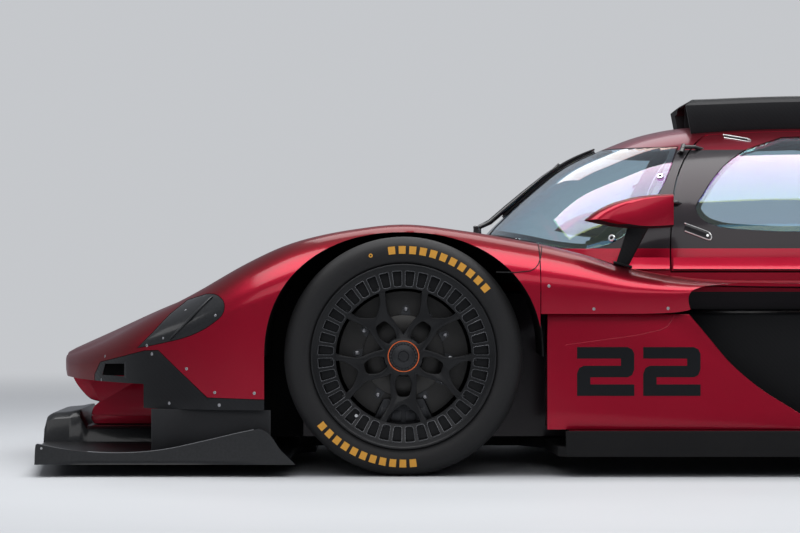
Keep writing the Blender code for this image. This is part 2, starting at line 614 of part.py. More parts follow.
def number_panel(side):
    name = "number_panel_" + side_name(side)
    face = HALF_WIDTH - PANEL_INSET
    panel = prism(name, NUMBER_PANEL, side * (face - PANEL_WALL), side * face, finish="red_paint")
    foot_z = SILL_Z + SEAT_GAP
    foot = box(
        name + ".foot", (F + 0.450, side * (face - 0.140), foot_z), (F + 1.100, side * (face + 0.025), foot_z + 0.006),
    )
    brace = box(
        name + ".brace", (F + 0.392, side * (face - 0.155), 0.1275), (F + 0.398, side * (face - 0.0025), 0.438),
    )
    return settle(change(panel, "ADD", foot, brace))


def sidepod(side):
    outer = [
        (F + 0.465, 0.350), (F + 0.815, 0.250), (F + 1.315, 0.210), (F + 1.815, 0.170), (R - 0.795, 0.110),
        (R - 0.475, 0.070),
    ]
    root = side * (CELL_HALF + SEAT_GAP * 2)
    outline = [(F + 0.465, root)] + [(x, side * (HALF_WIDTH - inset)) for x, inset in outer] + [(R - 0.475, root)]
    pod = prism("sidepod_" + side_name(side), outline, 0.0805, 0.4450, plane="XY", finish="satin_carbon")
    mouth = [
        (F + 0.40, CELL_HALF + 0.030), (F + 0.40, HALF_WIDTH - 0.230), (F + 0.95, HALF_WIDTH - 0.290),
        (F + 0.95, CELL_HALF + 0.040),
    ]
    mouth = [(x, side * a) for x, a in mouth]
    return settle(change(pod, "CUT", prism(f"mouth.{side}", mouth, 0.130, 0.400, plane="XY")))


def floor():
    half = [
        (F - 0.296, 0.440), (F + 0.330, 0.440), (F + 0.400, 0.560), (F + 0.420, HALF_WIDTH - 0.020),
        (F + 0.440, HALF_WIDTH),
        (R - 0.430, HALF_WIDTH), (R - 0.425, 0.560), (R - 0.400, 0.420), (R + 0.050, 0.420),
    ]
    plate = prism("floor", closed_half(half), FLOOR_Z, FLOOR_Z + FLOOR_WALL, plane="XY", finish="satin_carbon")
    for side in (-1, 1):
        sill = [(F + 0.440, 0.060), (F + 0.440, SILL_Z), (R - 0.430, SILL_Z), (R - 0.430, 0.060)]
        change(plate, "ADD", prism(f"sill.{side}", sill, side * (HALF_WIDTH - 0.045), side * HALF_WIDTH))
    return settle(plate)


def diffuser():
    tunnel = [
        (R + 0.0505, 0.060), (R + 0.250, 0.100), (R + 0.450, 0.175), (R + 0.600, 0.255), (R + 0.604, 0.262),
        (R + 0.596, 0.267), (R + 0.445, 0.187), (R + 0.246, 0.112), (R + 0.0505, 0.074),
    ]
    piece = prism("diffuser", tunnel, -0.520, 0.520, finish="satin_carbon")
    strake = [(R + 0.100, 0.0560), (R + 0.600, 0.0700), (R + 0.600, 0.258), (R + 0.450, 0.180), (R + 0.250, 0.104),
              (R + 0.100, 0.066)]
    for k, y in enumerate((-0.517, -0.260, 0.0, 0.260, 0.517)):
        change(piece, "ADD", prism(f"strake.{k}", strake, y - 0.003, y + 0.003))
    return settle(piece)


SCOOP = [
    # x, z of the top, a at the foot
    (F + 0.829, 1.061, 0.245),
    (F + 1.200, 1.072, 0.238),
    (BULKHEAD_X, 1.070, 0.205),
    (R - 0.900, 1.062, 0.150),
    (R - 0.700, 1.052, 0.090),
    (R - 0.500, 1.042, 0.034),
    (R - 0.380, 1.038, 0.010),
]


def scoop_form(name, stations, grow=0.0, foot=0.90):
    return arched(name, SCOOP, stations, grow, foot, sides=8, power=4.5)


def rear_clip():
    stations = [row[0] for row in REAR_BODY]
    stations[0] += SEAT_GAP * 2
    skin = body_skin("rear_clip", REAR_BODY, stations, "red_paint")
    half = body_section(REAR_BODY, CLIP_TAIL_X)[1:]
    half[-1] = (half[-1][0] - 0.001, half[-1][1] + 0.002)
    lift = [(a * 0.9985, z - 0.0015) for a, z in half]
    panel = prism(
        "tail_panel", [(-a, z) for a, z in lift[::-1]] + [(a, z) for a, z in lift],
        CLIP_TAIL_X - 0.010, CLIP_TAIL_X - 0.002, plane="YZ",
    )
    tail_hole = box("tail_hole", (CLIP_TAIL_X - 0.1, -0.245, 0.20), (CLIP_TAIL_X + 0.1, 0.245, 0.435))
    cover = canopy_form("cover", BULKHEAD_X + SEAT_GAP * 2, R + 0.5385, 0.0, 0.450)
    spine = scoop_form("spine", [row[0] for row in SCOOP[3:]], foot=0.80)
    neck = scoop_form("neck", [BULKHEAD_X + SEAT_GAP * 2, SCOOP[3][0] + 0.01], foot=0.84)
    fin = prism("fin", FIN, -0.006, 0.006)
    inside = canopy_form("cover.inside", BULKHEAD_X - 0.05, R + 0.530, -PANEL_WALL, 0.430)
    change(skin, "ADD", panel, cover)
    settle(skin)
    change(skin, "CUT", inside, tail_hole, *both_sides("rear_arch", REAR_ARCH, HALF_WIDTH - ARCH_DEPTH, WIDTH))
    settle(skin)
    change(skin, "ADD", neck, spine, fin)
    settle(skin)
    duct = scoop_form("neck.inside", [BULKHEAD_X - 0.05, R - 0.940], -0.010, foot=0.80)
    return settle(change(skin, "CUT", duct))


def roof_scoop():
    stations = [SCOOP[0][0], F + 1.0, SCOOP[1][0], F + 1.45, BULKHEAD_X - SEAT_GAP]
    scoop = scoop_form("roof_scoop", stations)
    scoop.data.materials.append(material("satin_carbon"))
    scoop.hide_render = False
    scoop.display_type = "TEXTURED"
    change(
        scoop, "CUT",
        canopy_form("scoop_cut", COWL_X, BULKHEAD_X + 0.1, SEAT_GAP * 1.5),
        scoop_form(
            "scoop.inside", [SCOOP[0][0] - 0.05, SCOOP[0][0], SCOOP[1][0], BULKHEAD_X + 0.05], -0.008, foot=0.86,
        ),
    )
    return settle(scoop)


def rear_wing():
    main = [
        (TAIL_X - 0.350, 0.955), (TAIL_X - 0.338, 0.944), (TAIL_X - 0.280, 0.9405), (TAIL_X - 0.110, 0.9405),
        (TAIL_X - 0.060, 0.958), (TAIL_X - 0.050, 0.968), (TAIL_X - 0.120, 0.968), (TAIL_X - 0.230, 0.972),
        (TAIL_X - 0.320, 0.968),
    ]
    flap = [
        (TAIL_X - 0.092, 0.985), (TAIL_X - 0.080, 0.978), (TAIL_X - 0.040, 0.992), (TAIL_X - 0.004, 1.028),
        (TAIL_X - 0.008, 1.032), (TAIL_X - 0.050, 1.008), (TAIL_X - 0.085, 0.995),
    ]
    plate = [
        (TAIL_X - 0.360, 0.930), (TAIL_X - 0.345, 0.975), (TAIL_X - 0.250, 1.030), (TAIL_X - 0.060, 1.048),
        (TAIL_X, 1.048), (TAIL_X, 0.820), (TAIL_X - 0.090, 0.790), (TAIL_X - 0.260, 0.850),
    ]
    span = HALF_WIDTH - PANEL_INSET
    wing = prism("rear_wing", main, 0.005 - span, span - 0.005, finish="satin_carbon")
    change(wing, "ADD", prism("flap", flap, 0.005 - span, span - 0.005))
    for side in (-1, 1):
        change(wing, "ADD", prism(f"endplate.{side}", plate, side * (span - 0.012), side * span))
    return settle(wing)


def wing_pylon(side):
    outline = [
        (CLIP_TAIL_X + 0.006, 0.280), (CLIP_TAIL_X + 0.075, 0.280), (CLIP_TAIL_X + 0.080, 0.400),
        (CLIP_TAIL_X + 0.048, 0.620), (CLIP_TAIL_X + 0.040, 0.860), (CLIP_TAIL_X + 0.030, 0.940),
        (TAIL_X - 0.260, 0.940), (TAIL_X - 0.220, 0.880), (CLIP_TAIL_X + 0.004, 0.760), (CLIP_TAIL_X + 0.006, 0.620),
    ]
    name = "wing_pylon_" + side_name(side)
    return prism(name, outline, side * 0.2005, side * 0.2095, finish="satin_carbon")


def mirror(side):
    name = "mirror_" + side_name(side)
    outline = [
        (F + 0.495, 0.6940), (F + 0.567, 0.7420), (F + 0.662, 0.7630), (F + 0.737, 0.7690), (F + 0.737, 0.6765),
        (F + 0.620, 0.6735), (F + 0.537, 0.6853),
    ]
    housing = prism(name, outline, side * (HALF_WIDTH - 0.215), side * (HALF_WIDTH - 0.075), finish="red_paint")
    step = housing.modifiers.new("edges", "BEVEL")
    step.width = 0.012
    step.segments = 2
    step.limit_method = "ANGLE"
    step.angle_limit = math.radians(50)
    stalk = [(F + 0.640, 0.690), (F + 0.658, 0.690), (F + 0.612, 0.550), (F + 0.588, 0.550)]
    change(housing, "ADD", prism(name + ".stalk", stalk, side * (HALF_WIDTH - 0.158), side * (HALF_WIDTH - 0.142)))
    change(housing, "ADD", prism(
        name + ".foot", [(F + 0.570, 0.556), (F + 0.570, 0.583), (F + 0.630, 0.576), (F + 0.640, 0.556)],
        side * (HALF_WIDTH - 0.168), side * (HALF_WIDTH - 0.132),
    ))
    deck_form = body_skin(name + ".deck", DECK_BODY, [row[0] for row in DECK_BODY], None, side, wall=0.060)
    deck_form.location.z = SEAT_GAP * 1.5
    return settle(change(housing, "CUT", deck_form))


def wiper():
    arm = bar("wiper", (F + 0.224, 0.0, 0.6515), (F + 0.224, 0.0, 0.690), 0.012, 10, finish="gloss_black")
    change(
        arm, "ADD",
        bar("wiper.arm", (F + 0.222, 0.0, 0.678), (F + 0.385, 0.0, 0.822), 0.006, 6),
        bar("wiper.reach", (F + 0.382, 0.0, 0.820), (F + 0.560, 0.0, 0.929), 0.005, 6),
        bar("wiper.blade", (F + 0.300, 0.0, 0.741), (F + 0.560, 0.0, 0.921), 0.0045, 6),
    )
    return settle(change(arm, "CUT", canopy_form("wiper_cut", COWL_X, BULKHEAD_X, SEAT_GAP * 1.5)))


def seat():
    """The driver's shell: a reclined back, a low pan and side bolsters, on the safety cell's floor."""
    y = -0.205
    profile = [
        (F + 0.900, 0.1040), (F + 0.900, 0.205), (F + 0.960, 0.222), (F + 1.180, 0.170), (F + 1.300, 0.200),
        (F + 1.420, 0.420), (F + 1.560, 0.800), (F + 1.600, 0.800), (F + 1.500, 0.400), (F + 1.400, 0.1040),
    ]
    shell = prism("seat", profile, y - 0.190, y + 0.190, finish="seat_cloth")
    wing = [
        (F + 0.940, 0.150), (F + 0.940, 0.270), (F + 1.150, 0.300), (F + 1.240, 0.480), (F + 1.380, 0.640),
        (F + 1.380, 0.810), (F + 1.570, 0.810), (F + 1.470, 0.380), (F + 1.380, 0.150),
    ]
    for k in (-1, 1):
        change(shell, "ADD", prism(f"bolster.{k}", wing, y + k * 0.165, y + k * 0.205))
    return settle(shell)


def steering_wheel():
    y = -0.205
    grip = [
        (-0.140, 0.055), (-0.125, 0.085), (0.125, 0.085), (0.140, 0.055), (0.140, -0.055), (0.120, -0.085),
        (0.085, -0.085), (0.085, -0.050), (-0.085, -0.050), (-0.085, -0.085), (-0.120, -0.085), (-0.140, -0.055),
    ]
    piece = prism("steering_wheel", [(y + a, 0.625 + z) for a, z in grip], F + 0.780, F + 0.808, plane="YZ",
                  finish="satin_carbon")
    settle(change(piece, "ADD", bar("column", (F + 0.545, y, DASH_Z + 0.026), (F + 0.790, y, 0.625), 0.018, 10)))
    saddle = bar("saddle", (F + 0.560, y - 0.1, DASH_Z), (F + 0.560, y + 0.1, DASH_Z), 0.0225, 10)
    return settle(change(piece, "CUT", saddle))


def engine():
    block = box("engine", (BULKHEAD_X + 0.0005, -0.230, 0.0805), (R - 0.420, 0.230, 0.380), finish="brake_iron")
    bank = [(0.06, 0.36), (0.20, 0.36), (0.31, 0.50), (0.22, 0.60), (0.04, 0.42)]
    for side in (-1, 1):
        change(block, "ADD", prism(
            f"bank.{side}", [(side * a, z) for a, z in bank], BULKHEAD_X + 0.040, R - 0.500, plane="YZ",
        ))
    return settle(block)


def gearbox():
    case = prism("gearbox", [
        (R - 0.4195, 0.0805), (R - 0.4195, 0.400), (R - 0.180, 0.440), (R + 0.180, 0.430), (R + 0.180, 0.280),
        (R + 0.040, 0.0805),
    ], -GEARBOX_HALF, GEARBOX_HALF, finish="machined_alloy")
    crash = prism("crash", [
        (R + 0.100, -0.145), (R + 0.520, -0.195), (CLIP_TAIL_X + 0.070, -0.200), (CLIP_TAIL_X + 0.070, 0.200),
        (R + 0.520, 0.195), (R + 0.100, 0.145),
    ], 0.285, 0.380, plane="XY")
    return settle(change(case, "ADD", crash))


def wheel_centre(front, side):
    """Centre of a wheel: x, y and z, with y at the middle of the tyre."""
    width = FRONT_TYRE_W if front else REAR_TYRE_W
    radius = FRONT_TYRE_R if front else REAR_TYRE_R
    return F if front else R, side * (HALF_WIDTH - WHEEL_INSET - width / 2), radius


def corner_name(front, side):
    return ("front_" if front else "rear_") + side_name(side)


def outboard(profile, side):
    """A profile of (radius, distance outboard of the wheel's middle) as (radius, y)."""
    return [(r, side * o) for r, o in profile]


def tyre(front, side):
    h = (FRONT_TYRE_W if front else REAR_TYRE_W) / 2
    r = FRONT_TYRE_R if front else REAR_TYRE_R
    edge = [
        (RIM_R + 0.001, h - 0.030), (RIM_FLANGE_R + 0.0015, h - 0.0135), (RIM_FLANGE_R + 0.022, h),
        (r - 0.016, h - 0.008), (r, h - 0.045),
    ]
    inside = r - 0.016
    profile = edge + [(a, -o) for a, o in edge[::-1]] + [(inside, -h + 0.048), (inside, h - 0.048)]
    return turned(
        "tyre_" + corner_name(front, side), outboard(profile, side), wheel_centre(front, side), 24, "tyre_rubber",
    )


def rim(front, side):
    """Barrel, outer ring, hub and five forked spokes."""
    h = (FRONT_TYRE_W if front else REAR_TYRE_W) / 2
    x, y, z = wheel_centre(front, side)
    name = "rim_" + corner_name(front, side)
    flange = [(RIM_FLANGE_R, h - 0.003), (RIM_FLANGE_R, h - 0.013), (RIM_R, h - 0.013)]
    profile = flange + [(a, -o) for a, o in flange[::-1]] + [
        (BARREL_R, -h + 0.014), (BARREL_R, h - 0.060), (RING_R, h - 0.045), (RING_R, h - 0.020),
        (RIM_R + 0.003, h - 0.007),
    ]
    wheel = turned(name, outboard(profile, side), (x, y, z), 24, "wheel_black")
    hub = [(0.0185, h - 0.090), (0.055, h - 0.090), (0.055, h - 0.052), (0.042, h - 0.036), (0.0185, h - 0.036)]
    change(wheel, "ADD", turned(name + ".hub", outboard(hub, side), (x, y, z), 12))
    y_spoke = sorted((y + side * (h - 0.062), y + side * (h - 0.034)))
    spoke = [
        (0.048, -0.024), (0.105, -0.021), (RING_R - 0.0065, -0.0665), (RING_R + 0.005, -0.052), (0.133, 0.0),
        (RING_R + 0.005, 0.052), (RING_R - 0.0065, 0.0665), (0.105, 0.021), (0.048, 0.024),
    ]
    for k in range(5):
        turn = math.radians(270 + 72 * k)
        c, s = math.cos(turn), math.sin(turn)
        outline = [(x + u * c - v * s, z + u * s + v * c) for u, v in spoke]
        change(wheel, "ADD", prism(f"{name}.spoke{k}", outline, *y_spoke))
    settle(wheel)
    nut = bar(name + ".nut", (x, y + side * (h - 0.046), z), (x, y + side * (h - 0.026), z), 0.033, 10)
    return settle(change(wheel, "ADD", nut))


def disc(front, side):
    h = (FRONT_TYRE_W if front else REAR_TYRE_W) / 2
    profile = [
        (0.0558, h - 0.087), (0.112, h - 0.087), (0.112, h - 0.096), (DISC_R, h - 0.096), (DISC_R, h - 0.126),
        (0.104, h - 0.126), (0.104, h - 0.096), (0.0558, h - 0.095),
    ]
    name = "brake_disc_" + corner_name(front, side)
    return turned(name, outboard(profile, side), wheel_centre(front, side), 20, "brake_iron")


def knuckle(front, side):
    """Upright with its stub axle and the brake caliper at the bottom of the disc."""
    h = (FRONT_TYRE_W if front else REAR_TYRE_W) / 2
    x, y, z = wheel_centre(front, side)
    name = "knuckle_" + corner_name(front, side)

    def slab(label, outline, low, high, finish=None):
        levels = sorted((y + side * low, y + side * high))
        return prism(label, [(x + u, z + v) for u, v in outline], *levels, finish=finish)

    upright = [(-0.040, -0.112), (0.040, -0.112), (0.060, 0.0), (0.040, 0.112), (-0.040, 0.112), (-0.060, 0.0)]
    piece = slab(name, upright, min(h - 0.195, 0.003 - KINGPIN_INSET), h - 0.142, "machined_alloy")
    spindle = bar(name + ".spindle", (x, y + side * (h - 0.160), z), (x, y + side * (h - 0.0475), z), 0.0175, 8)
    arc = [math.radians(a) for a in range(244, 297, 13)]
    pad = [(CALIPER_R * math.cos(a), CALIPER_R * math.sin(a)) for a in arc]
    pad += [(0.122 * math.cos(a), 0.122 * math.sin(a)) for a in arc[::-1]]
    caliper = slab(name + ".caliper", pad, h - 0.146, h - 0.070)
    slot = [(0.090, h - 0.1325), (0.090, h - 0.0800), (DISC_R + 0.009, h - 0.0800), (DISC_R + 0.009, h - 0.1325)]
    change(caliper, "CUT", turned(name + ".slot", outboard(slot, side), (x, y, z), 20))
    bell = [(-0.3, -0.118), (0.3, -0.118), (0.3, 0.1), (-0.3, 0.1)]
    change(caliper, "CUT", slab(name + ".bell", bell, h - 0.100, h))
    settle(caliper)
    bracket = slab(name + ".bracket", [(-0.040, -0.060), (0.040, -0.060), (0.055, -0.150), (-0.055, -0.150)],
                   h - 0.160, h - 0.140)
    pin_y = y - side * KINGPIN_INSET
    posts = [
        bar(f"{name}.post{k}", (x, pin_y, z + k * 0.080), (x, pin_y, z + k * 0.126), 0.017, 8) for k in (-1, 1)
    ]
    return settle(change(piece, "ADD", spindle, caliper, bracket, *posts))


def wishbones(front, side):
    """Upper and lower arms of one corner, joined by the bracket that bolts to the safety cell or gearbox."""
    x, y, z = wheel_centre(front, side)
    y -= side * KINGPIN_INSET
    name = "wishbones_" + corner_name(front, side)
    inner = side * ((CELL_HALF if front else GEARBOX_HALF) + SEAT_GAP)
    spread = 0.150 if front else 0.120
    plate_out = inner + side * 0.010
    levels = (z - 0.139, z + 0.139) if front else (z - 0.139, z + 0.060)
    centre_z = [z - 0.139, z + 0.139]
    piece = box(name, (x - spread - 0.020, min(inner, plate_out), levels[0] - 0.014),
                (x + spread + 0.020, max(inner, plate_out), levels[1] + 0.014), finish="satin_carbon")
    for level, reach in zip(levels, centre_z):
        change(piece, "ADD", bar(f"{name}.pin{reach:.2f}", (x, y, reach - 0.0125), (x, y, reach + 0.0125), 0.018, 8))
        for end in (-1, 1):
            root = (x + end * spread, inner + side * 0.0075, level)
            change(piece, "ADD", bar(f"{name}.arm{reach:.2f}.{end}", (x, y, reach), root, 0.010, 6))
    return settle(piece)


for whole in (
    front_clip, nose_keel, tub, windscreen, splitter, floor, diffuser, rear_clip, roof_scoop, rear_wing, wiper, seat,
    steering_wheel, engine, gearbox,
):
    whole()
for side in (-1, 1):
    for paired in (deck, door, door_glass, number_panel, sidepod, wing_pylon, mirror):
        paired(side)
    for front in (True, False):
        for cornered in (tyre, rim, disc, knuckle, wishbones):
            cornered(front, side)
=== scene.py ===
import json
import math

import bmesh
import bpy
from mathutils import Matrix, Vector

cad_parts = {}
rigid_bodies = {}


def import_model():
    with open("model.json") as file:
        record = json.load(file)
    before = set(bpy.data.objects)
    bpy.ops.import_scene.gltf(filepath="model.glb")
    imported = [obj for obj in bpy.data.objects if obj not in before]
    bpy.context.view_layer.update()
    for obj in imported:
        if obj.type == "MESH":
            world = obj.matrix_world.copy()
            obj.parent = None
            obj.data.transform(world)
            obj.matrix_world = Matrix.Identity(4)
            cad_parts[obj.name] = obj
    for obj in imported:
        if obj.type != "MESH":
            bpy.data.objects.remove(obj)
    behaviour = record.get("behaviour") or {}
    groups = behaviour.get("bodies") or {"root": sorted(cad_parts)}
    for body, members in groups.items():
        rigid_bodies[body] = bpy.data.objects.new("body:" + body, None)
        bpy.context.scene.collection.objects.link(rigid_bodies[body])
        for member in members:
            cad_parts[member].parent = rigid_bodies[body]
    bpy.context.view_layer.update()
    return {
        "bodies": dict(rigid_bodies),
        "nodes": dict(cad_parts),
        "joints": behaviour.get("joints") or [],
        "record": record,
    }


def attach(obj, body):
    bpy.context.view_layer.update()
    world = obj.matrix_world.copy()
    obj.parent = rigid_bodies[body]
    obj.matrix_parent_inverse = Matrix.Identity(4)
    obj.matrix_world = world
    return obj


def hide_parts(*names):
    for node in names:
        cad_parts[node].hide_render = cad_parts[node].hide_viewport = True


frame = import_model()
print("frame loaded:", len(frame["nodes"]), "solids")

# nose towards -X, right side towards +Y, up is +Z, ground at 0
car = {"length": 4.75, "width": 1.90, "wheelbase": 3.01, "frontOverhang": 1.06, "frontRadius": 0.325,
       "rearRadius": 0.355}
halfWidth = car["width"] / 2
noseX = -car["length"] / 2
tailX = car["length"] / 2
frontX = noseX + car["frontOverhang"]
rearX = frontX + car["wheelbase"]

gaps = {"seat": 0.0003, "shutLine": 0.004, "panelWall": 0.006, "doorWall": 0.018, "glassWall": 0.005, "flange": 0.014,
        "coverSeam": 0.0012}
both = (-1, 1)
beyond = 1.10  # cutters reach this far, outside any body side

# how far from the centre plane the cutters of the body side begin
cuts = {
    "arch": 0.80, "lamp": 0.700, "corner": 0.25, "hollow": 0.66, "doorSkin": 0.272, "doorHole": 0.268, "glass": 0.15,
}


def sideName(side):
    return "left" if side < 0 else "right"


# camera: level, square to the left side, at the height of the wheel tops
shot = {"x": -1.3245, "distance": 8.95, "height": 0.569, "lens": 133.34, "sensor": 36.0}
camera = bpy.data.objects.new("camera", bpy.data.cameras.new("camera"))
camera.data.lens = shot["lens"]
camera.data.sensor_width = shot["sensor"]
camera.location = (shot["x"], -shot["distance"], shot["height"])
camera.rotation_euler = (math.radians(90), 0, 0)
bpy.context.scene.collection.objects.link(camera)
bpy.context.scene.camera = camera
bpy.context.scene.view_settings.view_transform = "Standard"

# studio: pale floor, pale surroundings and large soft lamps
studio = {
    "floorSize": 60.0,
    "floorColor": (0.50, 0.514, 0.532, 1),
    "backColor": (0.56, 0.575, 0.60, 1),
    "fadeFrom": 3.2,
    "fadeTo": 8.0,
    "skyColor": (0.80, 0.86, 1.0, 1),
    "skyStrength": 0.20,
    "glossShare": 0.22,
    "lamps": [
        # name, place, aim, width, depth, watts
        ("overhead", (-0.4, -0.7, 4.2), (-0.4, -0.1, 0.5), 7.4, 3.2, 375),
        ("leftSide", (-1.4, -6.5, 3.9), (-1.0, -0.8, 0.4), 8.0, 2.8, 125),
        ("rightSide", (0.6, 5.2, 5.0), (0.2, 0.8, 0.5), 7.0, 2.4, 110),
        ("noseEnd", (-6.2, -1.2, 2.6), (-2.0, 0.0, 0.4), 2.6, 1.4, 24),
        ("tailEnd", (6.2, 1.0, 2.8), (2.0, 0.0, 0.5), 2.6, 1.4, 60),
    ],
}


def newNode(tree, kind, values=None, **settings):
    made = tree.nodes.new(kind)
    for key, value in settings.items():
        setattr(made, key, value)
    for key, value in (values or {}).items():
        made.inputs[key].default_value = value
    return made


def wire(tree, start, end):
    tree.links.new(start, end)
    return end


def linkAll(tree, *pairs):
    for start, end in pairs:
        tree.links.new(start, end)


def mathNode(tree, operation, *values, clamp=False):
    made = tree.nodes.new("ShaderNodeMath")
    made.operation = operation
    made.use_clamp = clamp
    for k, value in enumerate(values):
        if isinstance(value, (int, float)):
            made.inputs[k].default_value = value
        else:
            tree.links.new(value, made.inputs[k])
    return made.outputs[0]


def colorMix(tree, factor, one, two, blend="MIX"):
    made = tree.nodes.new("ShaderNodeMix")
    made.data_type = "RGBA"
    made.blend_type = blend
    for socket, value in ((made.inputs[0], factor), (made.inputs[6], one), (made.inputs[7], two)):
        if isinstance(value, (int, float, tuple)):
            socket.default_value = value
        else:
            tree.links.new(value, socket)
    return made.outputs[2]


def patternNode(tree, kind, values=None):
    # a procedural pattern in the object's own coordinates
    place = newNode(tree, "ShaderNodeTexCoord")
    made = newNode(tree, kind, values)
    wire(tree, place.outputs["Object"], made.inputs["Vector"])
    return made


def partsOf(tree, kind="ShaderNodeTexCoord", label="Object"):
    # a place or a direction, split into X, Y and Z
    start = newNode(tree, kind)
    split = newNode(tree, "ShaderNodeSeparateXYZ")
    wire(tree, start.outputs[label], split.inputs[0])
    return split


def seenBackdrop(tree):
    # 1 for what the camera sees, also through glass, and a share of it in reflections
    rays = newNode(tree, "ShaderNodeLightPath")
    seen = mathNode(tree, "MAXIMUM", rays.outputs["Is Camera Ray"], rays.outputs["Is Transmission Ray"])
    gloss = mathNode(tree, "MULTIPLY", rays.outputs["Is Glossy Ray"], studio["glossShare"])
    return mathNode(tree, "MAXIMUM", seen, gloss)


def lightStudio():
    world = bpy.data.worlds.new("studio")
    bpy.context.scene.world = world
    world.use_nodes = True
    tree = world.node_tree
    tree.nodes.clear()
    back = newNode(tree, "ShaderNodeBackground", {"Color": studio["backColor"], "Strength": 1.0})
    sky = newNode(tree, "ShaderNodeBackground", {"Color": studio["skyColor"], "Strength": studio["skyStrength"]})
    mixed = newNode(tree, "ShaderNodeMixShader")
    out = newNode(tree, "ShaderNodeOutputWorld")
    linkAll(
        tree, (seenBackdrop(tree), mixed.inputs[0]), (sky.outputs[0], mixed.inputs[1]),
        (back.outputs[0], mixed.inputs[2]),
        (mixed.outputs[0], out.inputs[0]),
    )
    for name, place, aim, width, depth, watts in studio["lamps"]:
        lamp = bpy.data.lights.new(name, "AREA")
        lamp.shape = "RECTANGLE"
        lamp.size = width
        lamp.size_y = depth
        lamp.energy = watts
        holder = bpy.data.objects.new(name, lamp)
        holder.location = place
        holder.rotation_euler = (Vector(aim) - Vector(place)).to_track_quat("-Z", "Y").to_euler()
        bpy.context.scene.collection.objects.link(holder)
    half = studio["floorSize"] / 2
    mesh = bpy.data.meshes.new("floorPlane")
    mesh.from_pydata([(-half, -half, 0), (half, -half, 0), (half, half, 0), (-half, half, 0)], [], [(0, 1, 2, 3)])
    plane = bpy.data.objects.new("floorPlane", mesh)
    finish = bpy.data.materials.new("studioFloor")
    finish.use_nodes = True
    tree = finish.node_tree
    shader = tree.nodes["Principled BSDF"]
    shader.inputs["Roughness"].default_value = 0.55
    mottle = patternNode(tree, "ShaderNodeTexNoise", {"Scale": 1.4, "Detail": 6.0})
    shade = studio["floorColor"]
    darker = tuple(c * 0.93 for c in shade[:3]) + (1,)
    wire(tree, colorMix(tree, mottle.outputs["Fac"], darker, shade), shader.inputs["Base Color"])
    # far from the car the floor takes the backdrop's colour
    across = partsOf(tree)
    squares = [mathNode(tree, "MULTIPLY", across.outputs[k], across.outputs[k]) for k in ("X", "Y")]
    away = mathNode(tree, "SQRT", mathNode(tree, "ADD", *squares))
    fade = newNode(tree, "ShaderNodeMapRange", {"From Min": studio["fadeFrom"], "From Max": studio["fadeTo"]},
                   interpolation_type="SMOOTHSTEP")
    wire(tree, away, fade.inputs["Value"])
    glow = newNode(tree, "ShaderNodeEmission", {"Color": studio["backColor"], "Strength": 1.0})
    mixed = newNode(tree, "ShaderNodeMixShader")
    wire(tree, mathNode(tree, "MULTIPLY", fade.outputs[0], seenBackdrop(tree)), mixed.inputs[0])
    linkAll(tree, (shader.outputs[0], mixed.inputs[1]), (glow.outputs[0], mixed.inputs[2]))
    wire(tree, mixed.outputs[0], tree.nodes["Material Output"].inputs["Surface"])
    mesh.materials.append(finish)
    bpy.context.scene.collection.objects.link(plane)


lightStudio()
print("camera and studio set")


# shared surface effects, each a node group

def newGroup(name, inputs, outputs):
    group = bpy.data.node_groups.new(name, "ShaderNodeTree")
    for label, value in inputs.items():
        made = group.interface.new_socket(label, in_out="INPUT", socket_type="NodeSocketFloat")
        made.default_value = value
    for label in outputs:
        group.interface.new_socket(label, in_out="OUTPUT", socket_type="NodeSocketFloat")
    start = group.nodes.new("NodeGroupInput")
    end = group.nodes.new("NodeGroupOutput")
    return group, start, end


def grainGroup():
    # small irregular grain for rubber, castings, cloth and satin lacquer
    group, start, end = newGroup("fineGrain", {"Grain Size": 0.002, "Contrast": 1.0}, ["Grain"])
    noise = patternNode(group, "ShaderNodeTexNoise", {"Detail": 3.0, "Roughness": 0.55})
    wire(group, mathNode(group, "DIVIDE", 1.0, start.outputs["Grain Size"]), noise.inputs["Scale"])
    middle = mathNode(group, "SUBTRACT", noise.outputs["Fac"], 0.5)
    spread = mathNode(group, "MULTIPLY_ADD", middle, start.outputs["Contrast"], 0.5, clamp=True)
    wire(group, spread, end.inputs["Grain"])
    return group


def weaveGroup():
    # two-by-two twill, laid in the plane that the surface mostly faces
    group, start, end = newGroup("carbonTwill", {"Tow Width": 0.003}, ["Tow", "Height"])
    split, facing = partsOf(group), partsOf(group, "ShaderNodeNewGeometry", "Normal")
    flat = mathNode(group, "GREATER_THAN", mathNode(group, "ABSOLUTE", facing.outputs["Z"]), 0.55)
    across = newNode(group, "ShaderNodeMix")
    linkAll(
        group, (flat, across.inputs[0]), (split.outputs["Z"], across.inputs[2]), (split.outputs["Y"], across.inputs[3]),
    )
    u = mathNode(group, "DIVIDE", split.outputs["X"], start.outputs["Tow Width"])
    v = mathNode(group, "DIVIDE", across.outputs[0], start.outputs["Tow Width"])
    steps = mathNode(group, "ADD", mathNode(group, "FLOOR", u), mathNode(group, "FLOOR", v))
    turn = mathNode(group, "FLOORED_MODULO", steps, 4.0)
    tow = mathNode(group, "LESS_THAN", turn, 2.0)
    bulgeU = mathNode(group, "SINE", mathNode(group, "MULTIPLY", mathNode(group, "FRACT", u), math.pi))
    bulgeV = mathNode(group, "SINE", mathNode(group, "MULTIPLY", mathNode(group, "FRACT", v), math.pi))
    height = newNode(group, "ShaderNodeMix")
    linkAll(group, (tow, height.inputs[0]), (bulgeU, height.inputs[2]), (bulgeV, height.inputs[3]))
    linkAll(group, (tow, end.inputs["Tow"]), (height.outputs[0], end.inputs["Height"]))
    return group


